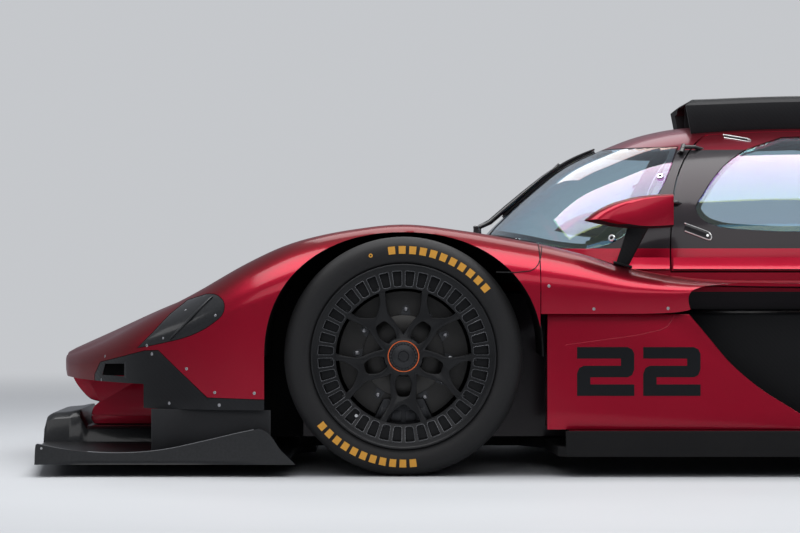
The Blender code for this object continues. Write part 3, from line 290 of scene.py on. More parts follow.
def wearGroup():
    # worn corners, and dust that lies on what faces up
    group, start, end = newGroup("edgeWearAndDust", {"Edge Amount": 1.0, "Dust Amount": 0.3}, ["Edge", "Dust"])
    surface = newNode(group, "ShaderNodeNewGeometry")
    cloud = patternNode(group, "ShaderNodeTexNoise", {"Scale": 9.0, "Detail": 5.0, "Roughness": 0.6})
    corner = newNode(group, "ShaderNodeMapRange", {"From Min": 0.53, "From Max": 0.62, "To Min": 0.0, "To Max": 1.0})
    wire(group, surface.outputs["Pointiness"], corner.inputs["Value"])
    broken = mathNode(group, "MULTIPLY", corner.outputs[0], cloud.outputs["Fac"])
    wire(group, mathNode(group, "MULTIPLY", broken, start.outputs["Edge Amount"], clamp=True), end.inputs["Edge"])
    facing = partsOf(group, "ShaderNodeNewGeometry", "Normal")
    upward = mathNode(group, "MULTIPLY_ADD", facing.outputs["Z"], 0.5, 0.5, clamp=True)
    lying = mathNode(group, "MULTIPLY", upward, cloud.outputs["Fac"])
    wire(group, mathNode(group, "MULTIPLY", lying, start.outputs["Dust Amount"], clamp=True), end.inputs["Dust"])
    return group


def flakeGroup():
    # metallic flakes: each cell is a little lighter or darker than the next
    group, start, end = newGroup("metalFlake", {"Flake Size": 0.0006}, ["Flake"])
    cells = patternNode(group, "ShaderNodeTexVoronoi")
    wire(group, mathNode(group, "DIVIDE", 1.0, start.outputs["Flake Size"]), cells.inputs["Scale"])
    shade = newNode(group, "ShaderNodeSeparateColor")
    wire(group, cells.outputs["Color"], shade.inputs[0])
    wire(group, shade.outputs[0], end.inputs["Flake"])
    return group


def insideGroup():
    # which faces look in towards the middle of the car
    group, start, end = newGroup("shellInside", {"Up Weight": 1.0, "Amount": 1.0}, ["Inside"])
    split, facing = partsOf(group), partsOf(group, "ShaderNodeNewGeometry", "True Normal")
    across = mathNode(group, "MULTIPLY", split.outputs["Y"], facing.outputs["Y"])
    up = mathNode(group, "MULTIPLY", facing.outputs["Z"], start.outputs["Up Weight"])
    inward = mathNode(group, "LESS_THAN", mathNode(group, "ADD", across, up), -0.05)
    wire(group, mathNode(group, "MULTIPLY", inward, start.outputs["Amount"]), end.inputs["Inside"])
    return group


groups = {
    "grain": grainGroup(), "weave": weaveGroup(), "wear": wearGroup(), "flake": flakeGroup(), "inside": insideGroup(),
}
print("shared effects built")


# finishes: one material for each, named for what it is on the car
finishes = {
    "candyRed": {
        "deep": (0.055, 0.0004, 0.0040, 1), "bright": (0.35, 0.0012, 0.0200, 1), "metal": 0.74, "rough": 0.32,
        "coat": 0.40,
    },
    "canopy": {"darkFrom": 0.620, "darkTo": 0.9065, "foot": 0.498},
    "dust": {"paint": (0.30, 0.22, 0.21, 1), "dark": (0.16, 0.145, 0.13, 1), "metal": (0.05, 0.045, 0.04, 1)},
    "gloss": {"color": (0.012, 0.0125, 0.014, 1), "rough": 0.16},
}
darkFinishes = {
    # dark and light colour, roughness, then what differs from the usual
    "satinCarbon": (
        (0.0078, 0.0082, 0.0095), (0.0098, 0.0102, 0.0116), 0.38,
        {"towWidth": 0.0035, "bump": 0.03, "dust": 0.03, "edge": 0.25},
    ),
    "lampShell": (
        (0.011, 0.0115, 0.0125), (0.020, 0.021, 0.023), 0.30,
        {"grain": 0.006, "bump": 0.02, "coat": 0.35, "edge": 0.1, "dust": 0.02},
    ),
    "vaneGray": (
        (0.013, 0.0135, 0.015), (0.018, 0.0185, 0.0205), 0.5, {"grain": 0.003, "bump": 0.06, "dust": 0.04, "edge": 0.3},
    ),
    "linerBlack": (
        (0.006, 0.006, 0.0065), (0.010, 0.010, 0.011), 0.75, {"grain": 0.003, "bump": 0.25, "dust": 0.05, "edge": 0.0},
    ),
    "glossBlack": (
        finishes["gloss"]["color"][:3], (0.016, 0.0165, 0.018), 0.14,
        {"grain": 0.01, "bump": 0.02, "coat": 0.6, "edge": 0.1},
    ),
    "wheelBlack": (
        (0.008, 0.0085, 0.0095), (0.018, 0.0185, 0.020), 0.36,
        {"grain": 0.0012, "bump": 0.12, "metal": 0.5, "coat": 0.12, "dust": 0.05, "edge": 0.5},
    ),
    # also used for the painted highlight rod along the splitter fences' top edges
    "wheelEdge": (
        (0.05, 0.052, 0.056), (0.09, 0.092, 0.098), 0.22, {"metal": 0.7, "coat": 0.3, "dust": 0.04},
    ),
    "tyreRubber": (
        (0.0095, 0.0095, 0.0105), (0.018, 0.018, 0.019), 0.60,
        {"grain": 0.0025, "bump": 0.30, "dust": 0.07, "edge": 0.1, "spec": 0.22},
    ),
    "boundBlack": (
        (0.007, 0.007, 0.008), (0.012, 0.012, 0.013), 0.7, {"grain": 0.004, "bump": 0.1, "edge": 0.0},
    ),
}
made = {}


def newFinish(name):
    finish = bpy.data.materials.new(name)
    finish.use_nodes = True
    made[name] = finish
    tree = finish.node_tree
    return tree, tree.nodes["Principled BSDF"]


def setUp(tree, shader, **values):
    # each input takes a value, or a socket that is wired to it
    names = {
        "color": "Base Color", "rough": "Roughness", "metal": "Metallic", "tint": "Specular Tint",
        "coat": "Coat Weight", "coatRough": "Coat Roughness", "ior": "IOR",
        "glass": "Transmission Weight", "spec": "Specular IOR Level", "sheen": "Sheen Weight",
        "sheenRough": "Sheen Roughness",
    }
    for key, value in values.items():
        if isinstance(value, bpy.types.NodeSocket):
            wire(tree, value, shader.inputs[names[key]])
        else:
            shader.inputs[names[key]].default_value = value


def useGroup(tree, key, **values):
    made = tree.nodes.new("ShaderNodeGroup")
    made.node_tree = groups[key]
    for name, value in values.items():
        made.inputs[name.replace("_", " ")].default_value = value
    return made


def bumpFrom(tree, shader, height, strength, distance):
    bump = newNode(tree, "ShaderNodeBump", {"Strength": strength, "Distance": distance})
    linkAll(tree, (height, bump.inputs["Height"]), (bump.outputs[0], shader.inputs["Normal"]))
    return bump


def redCoat(tree):
    # deep candy red: brighter where the metal layer below is seen straight on, with fine flakes
    values = finishes["candyRed"]
    flake = useGroup(tree, "flake", Flake_Size=0.0007)
    wear = useGroup(tree, "wear", Edge_Amount=0.2, Dust_Amount=0.05)
    facing = newNode(tree, "ShaderNodeLayerWeight", {"Blend": 0.42})
    depth = mathNode(tree, "SUBTRACT", 1.0, facing.outputs["Facing"])
    depth = mathNode(tree, "POWER", depth, 1.6)
    shade = colorMix(tree, depth, values["deep"], values["bright"])
    sparkle = mathNode(tree, "MULTIPLY_ADD", flake.outputs["Flake"], 0.14, 0.93)
    gray = newNode(tree, "ShaderNodeCombineColor")
    for k in range(3):
        wire(tree, sparkle, gray.inputs[k])
    shade = colorMix(tree, 1.0, shade, gray.outputs[0], "MULTIPLY")
    return colorMix(tree, wear.outputs["Dust"], shade, finishes["dust"]["paint"]), flake


def paintFinish(name, canopy=False, hollow=True, tint=(0.90, 0.12, 0.20, 1)):
    # red all over, or on the canopy gloss black between two heights and at its foot
    values = finishes["candyRed"]
    tree, shader = newFinish(name)
    shade, flake = redCoat(tree)
    rough = mathNode(tree, "MULTIPLY_ADD", flake.outputs["Flake"], 0.06, values["rough"])
    split = partsOf(tree)
    bare = useGroup(tree, "inside", Amount=1.0 if hollow else 0.0).outputs["Inside"]
    dark = bare
    if canopy:
        heights = finishes["canopy"]
        above = mathNode(tree, "GREATER_THAN", split.outputs["Z"], heights["darkFrom"])
        below = mathNode(tree, "LESS_THAN", split.outputs["Z"], heights["darkTo"])
        band = mathNode(tree, "MULTIPLY", above, below)
        foot = mathNode(tree, "LESS_THAN", split.outputs["Z"], heights["foot"])
        dark = mathNode(tree, "MAXIMUM", mathNode(tree, "MAXIMUM", bare, foot), band)
    shade = colorMix(tree, dark, shade, finishes["gloss"]["color"])
    lit = mathNode(tree, "SUBTRACT", 1.0, dark)
    metal = mathNode(tree, "MULTIPLY", lit, values["metal"])
    coat = mathNode(tree, "MULTIPLY_ADD", bare, -values["coat"], values["coat"])
    rough = mathNode(tree, "MULTIPLY_ADD", bare, 0.25, rough)
    setUp(
        tree, shader, color=shade, rough=rough, metal=metal, coat=coat, coatRough=0.11, ior=1.45, spec=0.2, tint=tint,
    )
    peel = useGroup(tree, "grain", Grain_Size=0.012, Contrast=0.6)
    bumpFrom(tree, shader, peel.outputs["Grain"], 0.05, 0.0006)
    return made[name]


def darkFinish(
    name, dark, light, roughness, towWidth=0.0, grain=0.002, bump=0.15, metal=0.0, coat=0.0, dust=0.06, edge=0.5,
    spec=0.16,
):
    # satin and gloss black parts: twill or grain, worn corners and a little dust
    tree, shader = newFinish(name)
    wear = useGroup(tree, "wear", Edge_Amount=edge, Dust_Amount=dust)
    if towWidth:
        weave = useGroup(tree, "weave", Tow_Width=towWidth)
        mask, height = weave.outputs["Tow"], weave.outputs["Height"]
    else:
        fine = useGroup(tree, "grain", Grain_Size=grain, Contrast=1.6)
        mask, height = fine.outputs["Grain"], fine.outputs["Grain"]
    shade = colorMix(tree, mask, dark, light)
    shade = colorMix(tree, wear.outputs["Edge"], shade, tuple(min(1, c * 4 + 0.02) for c in light[:3]) + (1,))
    shade = colorMix(tree, wear.outputs["Dust"], shade, finishes["dust"]["dark"])
    rough = mathNode(tree, "MULTIPLY_ADD", mask, 0.08, roughness)
    rough = mathNode(tree, "ADD", rough, mathNode(tree, "MULTIPLY", wear.outputs["Dust"], 0.6), clamp=True)
    setUp(tree, shader, color=shade, rough=rough, metal=metal, coat=coat, coatRough=0.12, spec=spec)
    bumpFrom(tree, shader, height, bump, 0.0004)
    return made[name]


def glassFinish(name, color, ior, film):
    tree, shader = newFinish(name)
    smear = useGroup(tree, "grain", Grain_Size=0.05, Contrast=0.8)
    rough = mathNode(tree, "MULTIPLY", smear.outputs["Grain"], 0.01)
    setUp(tree, shader, color=color, rough=rough, glass=1.0, ior=ior, metal=0.0)
    shader.inputs["Thin Film Thickness"].default_value = film
    shader.inputs["Thin Film IOR"].default_value = 1.55
    return made[name]


def metalFinish(name, dark, light, rough):
    tree, shader = newFinish(name)
    fine = useGroup(tree, "grain", Grain_Size=0.001, Contrast=1.5)
    wear = useGroup(tree, "wear", Edge_Amount=0.8, Dust_Amount=0.12)
    shade = colorMix(tree, fine.outputs["Grain"], dark, light)
    shade = colorMix(tree, wear.outputs["Edge"], shade, tuple(min(1, c * 1.8) for c in light[:3]) + (1,))
    shade = colorMix(tree, wear.outputs["Dust"], shade, finishes["dust"]["metal"])
    rough = mathNode(tree, "MULTIPLY_ADD", fine.outputs["Grain"], 0.15, rough)
    setUp(tree, shader, color=shade, rough=rough, metal=1.0)
    bumpFrom(tree, shader, fine.outputs["Grain"], 0.1, 0.0003)
    return made[name]


def discFinish():
    # turned brake face: fine circles round the axle of each wheel
    tree, shader = newFinish("turnedDisc")
    split = partsOf(tree)
    near = mathNode(tree, "LESS_THAN", split.outputs["X"], 0.0)
    axleX = mathNode(tree, "MULTIPLY_ADD", near, frontX - rearX, rearX)
    axleZ = mathNode(tree, "MULTIPLY_ADD", near, car["frontRadius"] - car["rearRadius"], car["rearRadius"])
    across = mathNode(tree, "SUBTRACT", split.outputs["X"], axleX)
    up = mathNode(tree, "SUBTRACT", split.outputs["Z"], axleZ)
    squared = mathNode(tree, "ADD", mathNode(tree, "MULTIPLY", across, across), mathNode(tree, "MULTIPLY", up, up))
    radius = mathNode(tree, "SQRT", squared)
    ring = mathNode(tree, "MULTIPLY_ADD", mathNode(tree, "SINE", mathNode(tree, "MULTIPLY", radius, 3200.0)), 0.5, 0.5)
    shade = colorMix(tree, ring, (0.022, 0.0215, 0.021, 1), (0.060, 0.058, 0.056, 1))
    setUp(tree, shader, color=shade, rough=mathNode(tree, "MULTIPLY_ADD", ring, 0.12, 0.28), metal=0.9)
    bumpFrom(tree, shader, ring, 0.15, 0.0003)
    return made["turnedDisc"]


def clothFinish():
    tree, shader = newFinish("seatCloth")
    weave = useGroup(tree, "weave", Tow_Width=0.0016)
    fuzz = useGroup(tree, "grain", Grain_Size=0.004, Contrast=1.4)
    wear = useGroup(tree, "wear", Edge_Amount=0.15, Dust_Amount=0.1)
    shade = colorMix(tree, weave.outputs["Tow"], (0.018, 0.018, 0.020, 1), (0.038, 0.038, 0.042, 1))
    shade = colorMix(tree, fuzz.outputs["Grain"], shade, (0.05, 0.05, 0.055, 1), "MIX")
    shade = colorMix(tree, wear.outputs["Dust"], shade, (0.12, 0.11, 0.1, 1))
    setUp(tree, shader, color=shade, rough=0.9, sheen=0.35, sheenRough=0.5)
    bumpFrom(tree, shader, weave.outputs["Height"], 0.4, 0.0006)
    return made["seatCloth"]


def flatFinish(name, color, rough=0.5, metal=0.0, glow=0.0, glowColor=None, coat=0.0, spec=0.5):
    # small parts: one hue with a slight mottle
    tree, shader = newFinish(name)
    fine = useGroup(tree, "grain", Grain_Size=0.003, Contrast=1.2)
    darker = tuple(c * 0.82 for c in color[:3]) + (1,)
    shade = colorMix(tree, fine.outputs["Grain"], darker, color)
    rough = mathNode(tree, "MULTIPLY_ADD", fine.outputs["Grain"], 0.1, rough)
    setUp(tree, shader, color=shade, rough=rough, metal=metal, coat=coat, spec=spec)
    if glow:
        shader.inputs["Emission Color"].default_value = glowColor
        shader.inputs["Emission Strength"].default_value = glow
    return made[name]


paintFinish("candyRed")
paintFinish("keelRed", hollow=False)
paintFinish("canopyPaint", canopy=True, tint=(0.90, 0.64, 0.72, 1))
for name, (dark, light, roughness, others) in darkFinishes.items():
    darkFinish(name, (*dark, 1), (*light, 1), roughness, **others)
metalFinish("brakeIron", (0.05, 0.045, 0.042, 1), (0.11, 0.10, 0.095, 1), 0.42)
metalFinish("machinedAlloy", (0.24, 0.24, 0.255, 1), (0.42, 0.42, 0.44, 1), 0.28)
metalFinish("darkAlloy", (0.026, 0.027, 0.030, 1), (0.052, 0.053, 0.056, 1), 0.36)
metalFinish("brightSteel", (0.45, 0.45, 0.46, 1), (0.66, 0.66, 0.67, 1), 0.22)
discFinish()
clothFinish()
glassFinish("clearGlass", (0.66, 0.77, 0.85, 1), ior=1.34, film=390)
flatFinish("markYellow", (0.72, 0.34, 0.035, 1), rough=0.6)
flatFinish("numberGray", (0.0065, 0.0075, 0.0095, 1), rough=0.42, spec=0.16)
flatFinish("ringOrange", (0.75, 0.13, 0.02, 1), rough=0.35)
flatFinish("tailRed", (0.5, 0.01, 0.01, 1), rough=0.25, glow=0.4, glowColor=(0.9, 0.02, 0.02, 1), coat=0.8)
flatFinish("lampSilver", (0.62, 0.64, 0.66, 1), rough=0.12, metal=1.0)
flatFinish("screenBlack", (0.008, 0.008, 0.009, 1), rough=0.3)
print("finishes made:", len(made))


# shape helpers

def curveAt(rows, x):
    # values of a table's columns at x, through a smooth curve that never overshoots
    if x <= rows[0][0]:
        return list(rows[0][1:])
    if x >= rows[-1][0]:
        return list(rows[-1][1:])
    i = max(k for k in range(len(rows) - 1) if rows[k][0] <= x)
    left, right = rows[i], rows[i + 1]
    span = right[0] - left[0]
    t = (x - left[0]) / span
    before = rows[i - 1] if i > 0 else None
    after = rows[i + 2] if i + 2 < len(rows) else None
    found = []
    for c in range(1, len(left)):
        slope = (right[c] - left[c]) / span
        slopeIn = (left[c] - before[c]) / (left[0] - before[0]) if before else slope
        slopeOut = (after[c] - right[c]) / (after[0] - right[0]) if after else slope
        start = 2 * slope * slopeIn / (slope + slopeIn) if slope * slopeIn > 0 else 0.0
        end = 2 * slope * slopeOut / (slope + slopeOut) if slope * slopeOut > 0 else 0.0
        found.append(
            left[c] * (2 * t**3 - 3 * t**2 + 1) + right[c] * (3 * t**2 - 2 * t**3)
            + span * (start * (t**3 - 2 * t**2 + t) + end * (t**3 - t**2))
        )
    return found


def easedAt(rows, x, reach=0.045):
    # the same curve, averaged over a short stretch so that highlights run smoothly
    reach = max(min(reach, x - rows[0][0], rows[-1][0] - x), 0.0)
    if reach < 1e-6:
        return curveAt(rows, x)
    weights = ((-1.0, 1), (-0.5, 2), (0.0, 3), (0.5, 2), (1.0, 1))
    total = [0.0] * (len(rows[0]) - 1)
    for offset, weight in weights:
        for c, value in enumerate(curveAt(rows, x + offset * reach)):
            total[c] += value * weight / 9.0
    return total


def shifted(base, rows):
    # rows whose first value is measured from a base
    return [(base + row[0], *row[1:]) for row in rows]


def spread(first, last, count):
    return [first + (last - first) * k / count for k in range(count + 1)]


def smoothOutline(points, sharp=(), per=6):
    # a closed outline through its points, rounded everywhere but at the sharp ones
    count = len(points)
    out = []
    for i in range(count):
        before, here, after, beyond = (Vector(points[(i + d) % count]) for d in (-1, 0, 1, 2))
        span = (after - here).length
        tangentHere = after - here
        if i not in sharp:
            lead = (here - before).length
            tangentHere = ((after - here) / span * lead + (here - before) / lead * span) / (span + lead) * span
        tangentAfter = after - here
        if (i + 1) % count not in sharp:
            trail = (beyond - after).length
            tangentAfter = ((beyond - after) / trail * span + (after - here) / span * trail) / (span + trail) * span
        for k in range(per):
            t = k / per
            p = here * (2 * t**3 - 3 * t**2 + 1) + after * (3 * t**2 - 2 * t**3)
            p += tangentHere * (t**3 - 2 * t**2 + t) + tangentAfter * (t**3 - t**2)
            out.append((p.x, p.y))
    return out


def widened(outline, by):
    area = sum(p[0] * q[1] - q[0] * p[1] for p, q in zip(outline, outline[1:] + outline[:1]))
    out = math.copysign(1.0, area)
    moved = []
    for before, here, after in zip(outline[-1:] + outline[:-1], outline, outline[1:] + outline[:1]):
        first = Vector((here[0] - before[0], here[1] - before[1])).normalized()
        second = Vector((after[0] - here[0], after[1] - here[1])).normalized()
        one = Vector((first.y, -first.x)) * out
        two = Vector((second.y, -second.x)) * out
        corner = (one + two) / max(1.0 + one.dot(two), 0.3)
        moved.append((here[0] + corner.x * by, here[1] + corner.y * by))
    return moved


def sheet(rings, closed=False, caps=False):
    bm = bmesh.new()
    rows = [[bm.verts.new(p) for p in ring] for ring in rings]
    wide = len(rows[0])
    for one, two in zip(rows, rows[1:]):
        for k in range(wide if closed else wide - 1):
            n = (k + 1) % wide
            bm.faces.new((one[k], two[k], two[n], one[n]))
    if caps:
        bm.faces.new(rows[0])
        bm.faces.new(rows[-1])
        bmesh.ops.recalc_face_normals(bm, faces=bm.faces)
    return bm


def shape(name, bm):
    mesh = bpy.data.meshes.new(name)
    bm.to_mesh(mesh)
    bm.free()
    item = bpy.data.objects.new(name, mesh)
    bpy.context.scene.collection.objects.link(item)
    return item


def outlinePoint(p, level, plane):
    return {"XZ": (p[0], level, p[1]), "XY": (p[0], p[1], level), "YZ": (level, p[0], p[1])}[plane]


def prism(name, outline, low, high, plane="XZ"):
    return shape(name, sheet([[outlinePoint(p, at, plane) for p in outline] for at in (low, high)], True, True))


def sidePrism(name, outline, side, inner, outer=beyond):
    return prism(name, outline, side * inner, side * outer)


def pairOfPrisms(name, outline, inner):
    return [sidePrism(f"{name}.{sideName(side)}", outline, side, inner) for side in both]


def block(name, low, high):
    outline = [(low[0], low[1]), (high[0], low[1]), (high[0], high[1]), (low[0], high[1])]
    return prism(name, outline, low[2], high[2], "XY")


def sideBlock(name, side, xs, outs, zs):
    # a block between two distances from the centre plane
    ys = sorted(side * out for out in outs)
    return block(name, (xs[0], ys[0], zs[0]), (xs[1], ys[1], zs[1]))


def turned(name, profile, centre, segments):
    # a closed profile of (radius, y) turned about the wheel axis
    rings = []
    for k in range(segments):
        angle = 2 * math.pi * k / segments
        c, s = math.cos(angle), math.sin(angle)
        rings.append([(centre[0] + r * c, centre[1] + y, centre[2] + r * s) for r, y in profile])
    rings.append(rings[0])
    bm = sheet(rings, closed=True)
    bmesh.ops.remove_doubles(bm, verts=bm.verts, dist=1e-6)
    bmesh.ops.recalc_face_normals(bm, faces=bm.faces)
    return shape(name, bm)


def tube(name, points, radius, sides=12, flat=1.0):
    # a round or flattened bar along points; radius may be one value or one for each point
    points = [Vector(p) for p in points]
    radii = radius if isinstance(radius, (list, tuple)) else [radius] * len(points)
    rings = []
    up = Vector((0, 0, 1))
    for i, p in enumerate(points):
        ahead = (points[min(i + 1, len(points) - 1)] - points[max(i - 1, 0)]).normalized()
        if abs(ahead.dot(up)) > 0.98:
            up = Vector((0, 1, 0))
        across = ahead.cross(up).normalized()
        over = across.cross(ahead).normalized()
        ring = []
        for k in range(sides):
            q = 2 * math.pi * k / sides
            ring.append(p + across * (radii[i] * math.cos(q)) + over * (radii[i] * flat * math.sin(q)))
        rings.append(ring)
    return shape(name, sheet(rings, True, True))


def settle(item):
    graph = bpy.context.evaluated_depsgraph_get()
    mesh = bpy.data.meshes.new_from_object(item.evaluated_get(graph))
    tools = {m.object for m in item.modifiers if m.type == "BOOLEAN"}
    item.modifiers.clear()
    item.data = mesh
    for tool in tools:
        if not tool.get("shared"):
            bpy.data.objects.remove(tool, do_unlink=True)
    return item


def carve(item, operation, *tools):
    # CUT takes the tools away, ADD joins them, KEEP leaves what lies inside
    for tool in tools:
        step = item.modifiers.new(tool.name, "BOOLEAN")
        step.operation = {"CUT": "DIFFERENCE", "ADD": "UNION", "KEEP": "INTERSECT"}[operation]
        step.object = tool
        step.solver = "EXACT"
    return settle(item)


def thickened(item, wall, offset=-1.0):
    step = item.modifiers.new("wall", "SOLIDIFY")
    step.thickness = wall
    step.offset = offset
    step.use_even_offset = True
    return settle(item)


def rounded(item, width, segments=2, limit=40):
    step = item.modifiers.new("edges", "BEVEL")
    step.width = width
    step.segments = segments
    step.limit_method = "ANGLE"
    step.angle_limit = math.radians(limit)
    step.use_clamp_overlap = True
    return settle(item)


def joined(name, items):
    # several shapes as one piece
    bm = bmesh.new()
    for item in items:
        bm.from_mesh(item.data)
        bpy.data.objects.remove(item, do_unlink=True)
    return shape(name, bm)


def mirrored(item, name):
    bm = bmesh.new()
    bm.from_mesh(item.data)
    bmesh.ops.scale(bm, vec=(1, -1, 1), verts=bm.verts)
    bmesh.ops.reverse_faces(bm, faces=bm.faces)
    return shape(name, bm)


def sided(label, side):
    # a label that ends open takes the side's name
    return label + sideName(side) if label.endswith((".", "_")) else label


def dress(item, name, finish, side=0, body="chassis", stands="", smooth=35.0):
    # a finished piece: its name, finish, smoothing, body and what it stands for
    name, body, stands = (sided(label, side) for label in (name, body, stands))
    if isinstance(item, list):
        item = joined(name, item)
    item.name = name
    item.data.name = name
    item.data.materials.clear()
    item.data.materials.append(made[finish])
    item.data.polygons.foreach_set("material_index", [0] * len(item.data.polygons))
    item.data.shade_smooth()
    item.data.set_sharp_from_angle(angle=math.radians(smooth))
    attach(item, body)
    if stands:
        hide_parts(stands)
    return item


# side outlines, and the tables that the body is lofted through
def archOutline(axleX, axleZ, reach, rise):
    # a superelliptic wheel arch, open down to the ground
    count, power = 48, 2.2
    points = [(axleX - reach, 0.0)]
    for k in range(count + 1):
        c, s = -math.cos(math.pi * k / count), math.sin(math.pi * k / count)
        points.append((
            axleX + math.copysign(abs(c) ** (2 / power), c) * reach, axleZ + abs(s) ** (2 / power) * rise,
        ))
    return points + [(axleX + reach, 0.0)]


cowlX = frontX + 0.175          # foremost point of the canopy
seamX = frontX + 0.370          # front clip to shoulder deck
bulkheadX = frontX + 1.735      # rear bulkhead of the safety cell
clipTailX = tailX - 0.14

canopyFoot = 0.48
canopyPower = 2.4
canopyRows = [
    # x, z of the roof, a at the foot
    (cowlX, 0.560, 0.060),
    (frontX + 0.205, 0.610, 0.200),
    (frontX + 0.245, 0.660, 0.310),
    (frontX + 0.315, 0.728, 0.410),
    (frontX + 0.395, 0.799, 0.475),
    (frontX + 0.485, 0.868, 0.520),
    (frontX + 0.595, 0.918, 0.555),
    (frontX + 0.715, 0.962, 0.580),
    (frontX + 0.835, 0.984, 0.592),
    (frontX + 1.115, 0.998, 0.600),
    (frontX + 1.415, 1.000, 0.598),
    (bulkheadX, 0.985, 0.585),
    (rearX - 0.995, 0.945, 0.540),
    (rearX - 0.695, 0.885, 0.460),
    (rearX - 0.395, 0.810, 0.370),
    (rearX - 0.095, 0.730, 0.290),
    (rearX + 0.205, 0.655, 0.220),
    (rearX + 0.540, 0.590, 0.170),
]


# half-sections of the body along the car
# x, middle z, foot a z, crest a z, side a z, hem z
frontBody = [
    (noseX + 0.053, 0.3125, 0.03, 0.310, 0.06, 0.304, 0.10, 0.288, 0.262),
    (noseX + 0.075, 0.325, 0.10, 0.319, 0.17, 0.308, 0.24, 0.279, 0.220),
    (noseX + 0.130, 0.349, 0.20, 0.340, 0.33, 0.325, 0.42, 0.285, 0.185),
    (noseX + 0.220, 0.390, 0.28, 0.375, 0.48, 0.362, 0.62, 0.310, 0.180),
    (noseX + 0.340, 0.445, 0.32, 0.420, 0.62, 0.425, 0.80, 0.350, 0.180),
    (frontX - 0.580, 0.500, 0.34, 0.460, 0.69, 0.495, halfWidth - 0.06, 0.40, 0.180),
    (frontX - 0.430, 0.545, 0.36, 0.485, 0.735, 0.580, halfWidth - 0.015, 0.455, 0.180),
    (frontX - 0.300, 0.578, 0.37, 0.500, 0.745, 0.637, halfWidth - 0.002, 0.50, 0.180),
    (frontX - 0.150, 0.605, 0.38, 0.515, 0.750, 0.670, halfWidth, 0.530, 0.180),
    (frontX, 0.630, 0.39, 0.525, 0.750, 0.686, halfWidth, 0.540, 0.180),
    (frontX + 0.150, 0.645, 0.42, 0.530, 0.750, 0.670, halfWidth, 0.535, 0.180),
    (seamX, 0.660, 0.48, 0.530, 0.755, 0.633, halfWidth, 0.515, 0.180),
]
deckBody = [
    (seamX, 0.560, 0.52, 0.530, 0.755, 0.633, halfWidth, 0.515, 0.441),
    (frontX + 0.500, 0.550, 0.54, 0.530, 0.765, 0.602, halfWidth, 0.505, 0.441),
    (frontX + 0.620, 0.545, 0.56, 0.525, 0.775, 0.565, halfWidth, 0.495, 0.441),
    (frontX + 0.760, 0.540, 0.58, 0.520, 0.785, 0.541, halfWidth, 0.495, 0.446),
    (frontX + 0.870, 0.538, 0.58, 0.518, 0.790, 0.532, halfWidth, 0.514, 0.490),
    (frontX + 1.000, 0.535, 0.58, 0.515, 0.795, 0.531, halfWidth, 0.516, 0.490),
    (frontX + 1.400, 0.530, 0.58, 0.512, 0.795, 0.531, halfWidth, 0.516, 0.490),
    (bulkheadX, 0.530, 0.57, 0.512, 0.795, 0.535, halfWidth, 0.516, 0.490),
]
rearBody = [
    (bulkheadX, 0.530, 0.57, 0.512, 0.795, 0.535, halfWidth, 0.516, 0.490),
    (rearX - 0.895, 0.530, 0.54, 0.515, 0.790, 0.575, halfWidth, 0.520, 0.430),
    (rearX - 0.700, 0.530, 0.50, 0.520, 0.780, 0.650, halfWidth, 0.530, 0.260),
    (rearX - 0.560, 0.530, 0.46, 0.520, 0.775, 0.705, halfWidth, 0.565, 0.150),
    (rearX - 0.395, 0.528, 0.42, 0.518, 0.770, 0.758, halfWidth, 0.610, 0.130),
    (rearX - 0.200, 0.520, 0.38, 0.512, 0.765, 0.792, halfWidth, 0.645, 0.130),
    (rearX, 0.510, 0.36, 0.505, 0.765, 0.805, halfWidth, 0.660, 0.130),
    (rearX + 0.200, 0.500, 0.34, 0.495, 0.765, 0.800, halfWidth, 0.655, 0.160),
    (rearX + 0.400, 0.490, 0.32, 0.485, 0.765, 0.778, halfWidth - 0.005, 0.640, 0.260),
    (clipTailX, 0.480, 0.30, 0.475, 0.765, 0.750, halfWidth - 0.015, 0.620, 0.330),
]


lampOutline = shifted(frontX, [
    (-0.733, 0.345), (-0.540, 0.493), (-0.510, 0.491), (-0.488, 0.471), (-0.488, 0.447), (-0.524, 0.411),
    (-0.582, 0.381), (-0.656, 0.361),
])
ductOutline = shifted(frontX, [
    (-0.871, 0.100), (-0.875, 0.262), (-0.855, 0.299), (-0.712, 0.337), (-0.672, 0.339), (-0.533, 0.212),
    (-0.300, 0.206), (-0.300, 0.100),
])
ductMouth = shifted(frontX, [(-0.848, 0.264), (-0.838, 0.296), (-0.775, 0.300), (-0.775, 0.264)])
screenOutline = shifted(frontX, [
    (0.150, 0.640), (0.250, 0.662), (0.328, 0.650), (0.458, 0.624), (0.533, 0.620), (0.595, 0.638), (0.648, 0.676),
    (0.730, 0.781), (0.796, 0.915), (0.150, 0.915),
])
doorOutline = shifted(frontX, [
    (0.758, 0.556), (0.757, 0.620), (0.765, 0.717), (0.783, 0.817), (0.829, 0.901), (0.880, 0.948), (0.915, 0.962),
    (0.930, 1.050), (1.660, 1.050), (1.690, 0.930), (1.695, 0.800), (1.685, 0.556),
])
doorGlassOutline = shifted(frontX, [
    (0.831, 0.731), (0.850, 0.702), (0.899, 0.681), (0.961, 0.674), (1.400, 0.684), (1.570, 0.700), (1.620, 0.750),
    (1.610, 0.830), (1.560, 0.885), (1.480, 0.905), (0.990, 0.906), (0.928, 0.864), (0.854, 0.775),
])
hollowOutline = shifted(frontX, [
    (0.777, 0.448), (0.771, 0.467), (0.770, 0.487), (0.778, 0.502), (0.800, 0.512), (0.850, 0.520), (1.100, 0.5215),
]) + [(rearX - 1.100, 0.5215), (rearX - 1.100, 0.300), (frontX + 0.850, 0.300)]
panelOutline = shifted(frontX, [
    (0.390, 0.125), (0.390, 0.4405), (0.776, 0.4405), (0.826, 0.381), (0.892, 0.3035), (0.965, 0.2414),
    (1.071, 0.174), (1.150, 0.125),
])
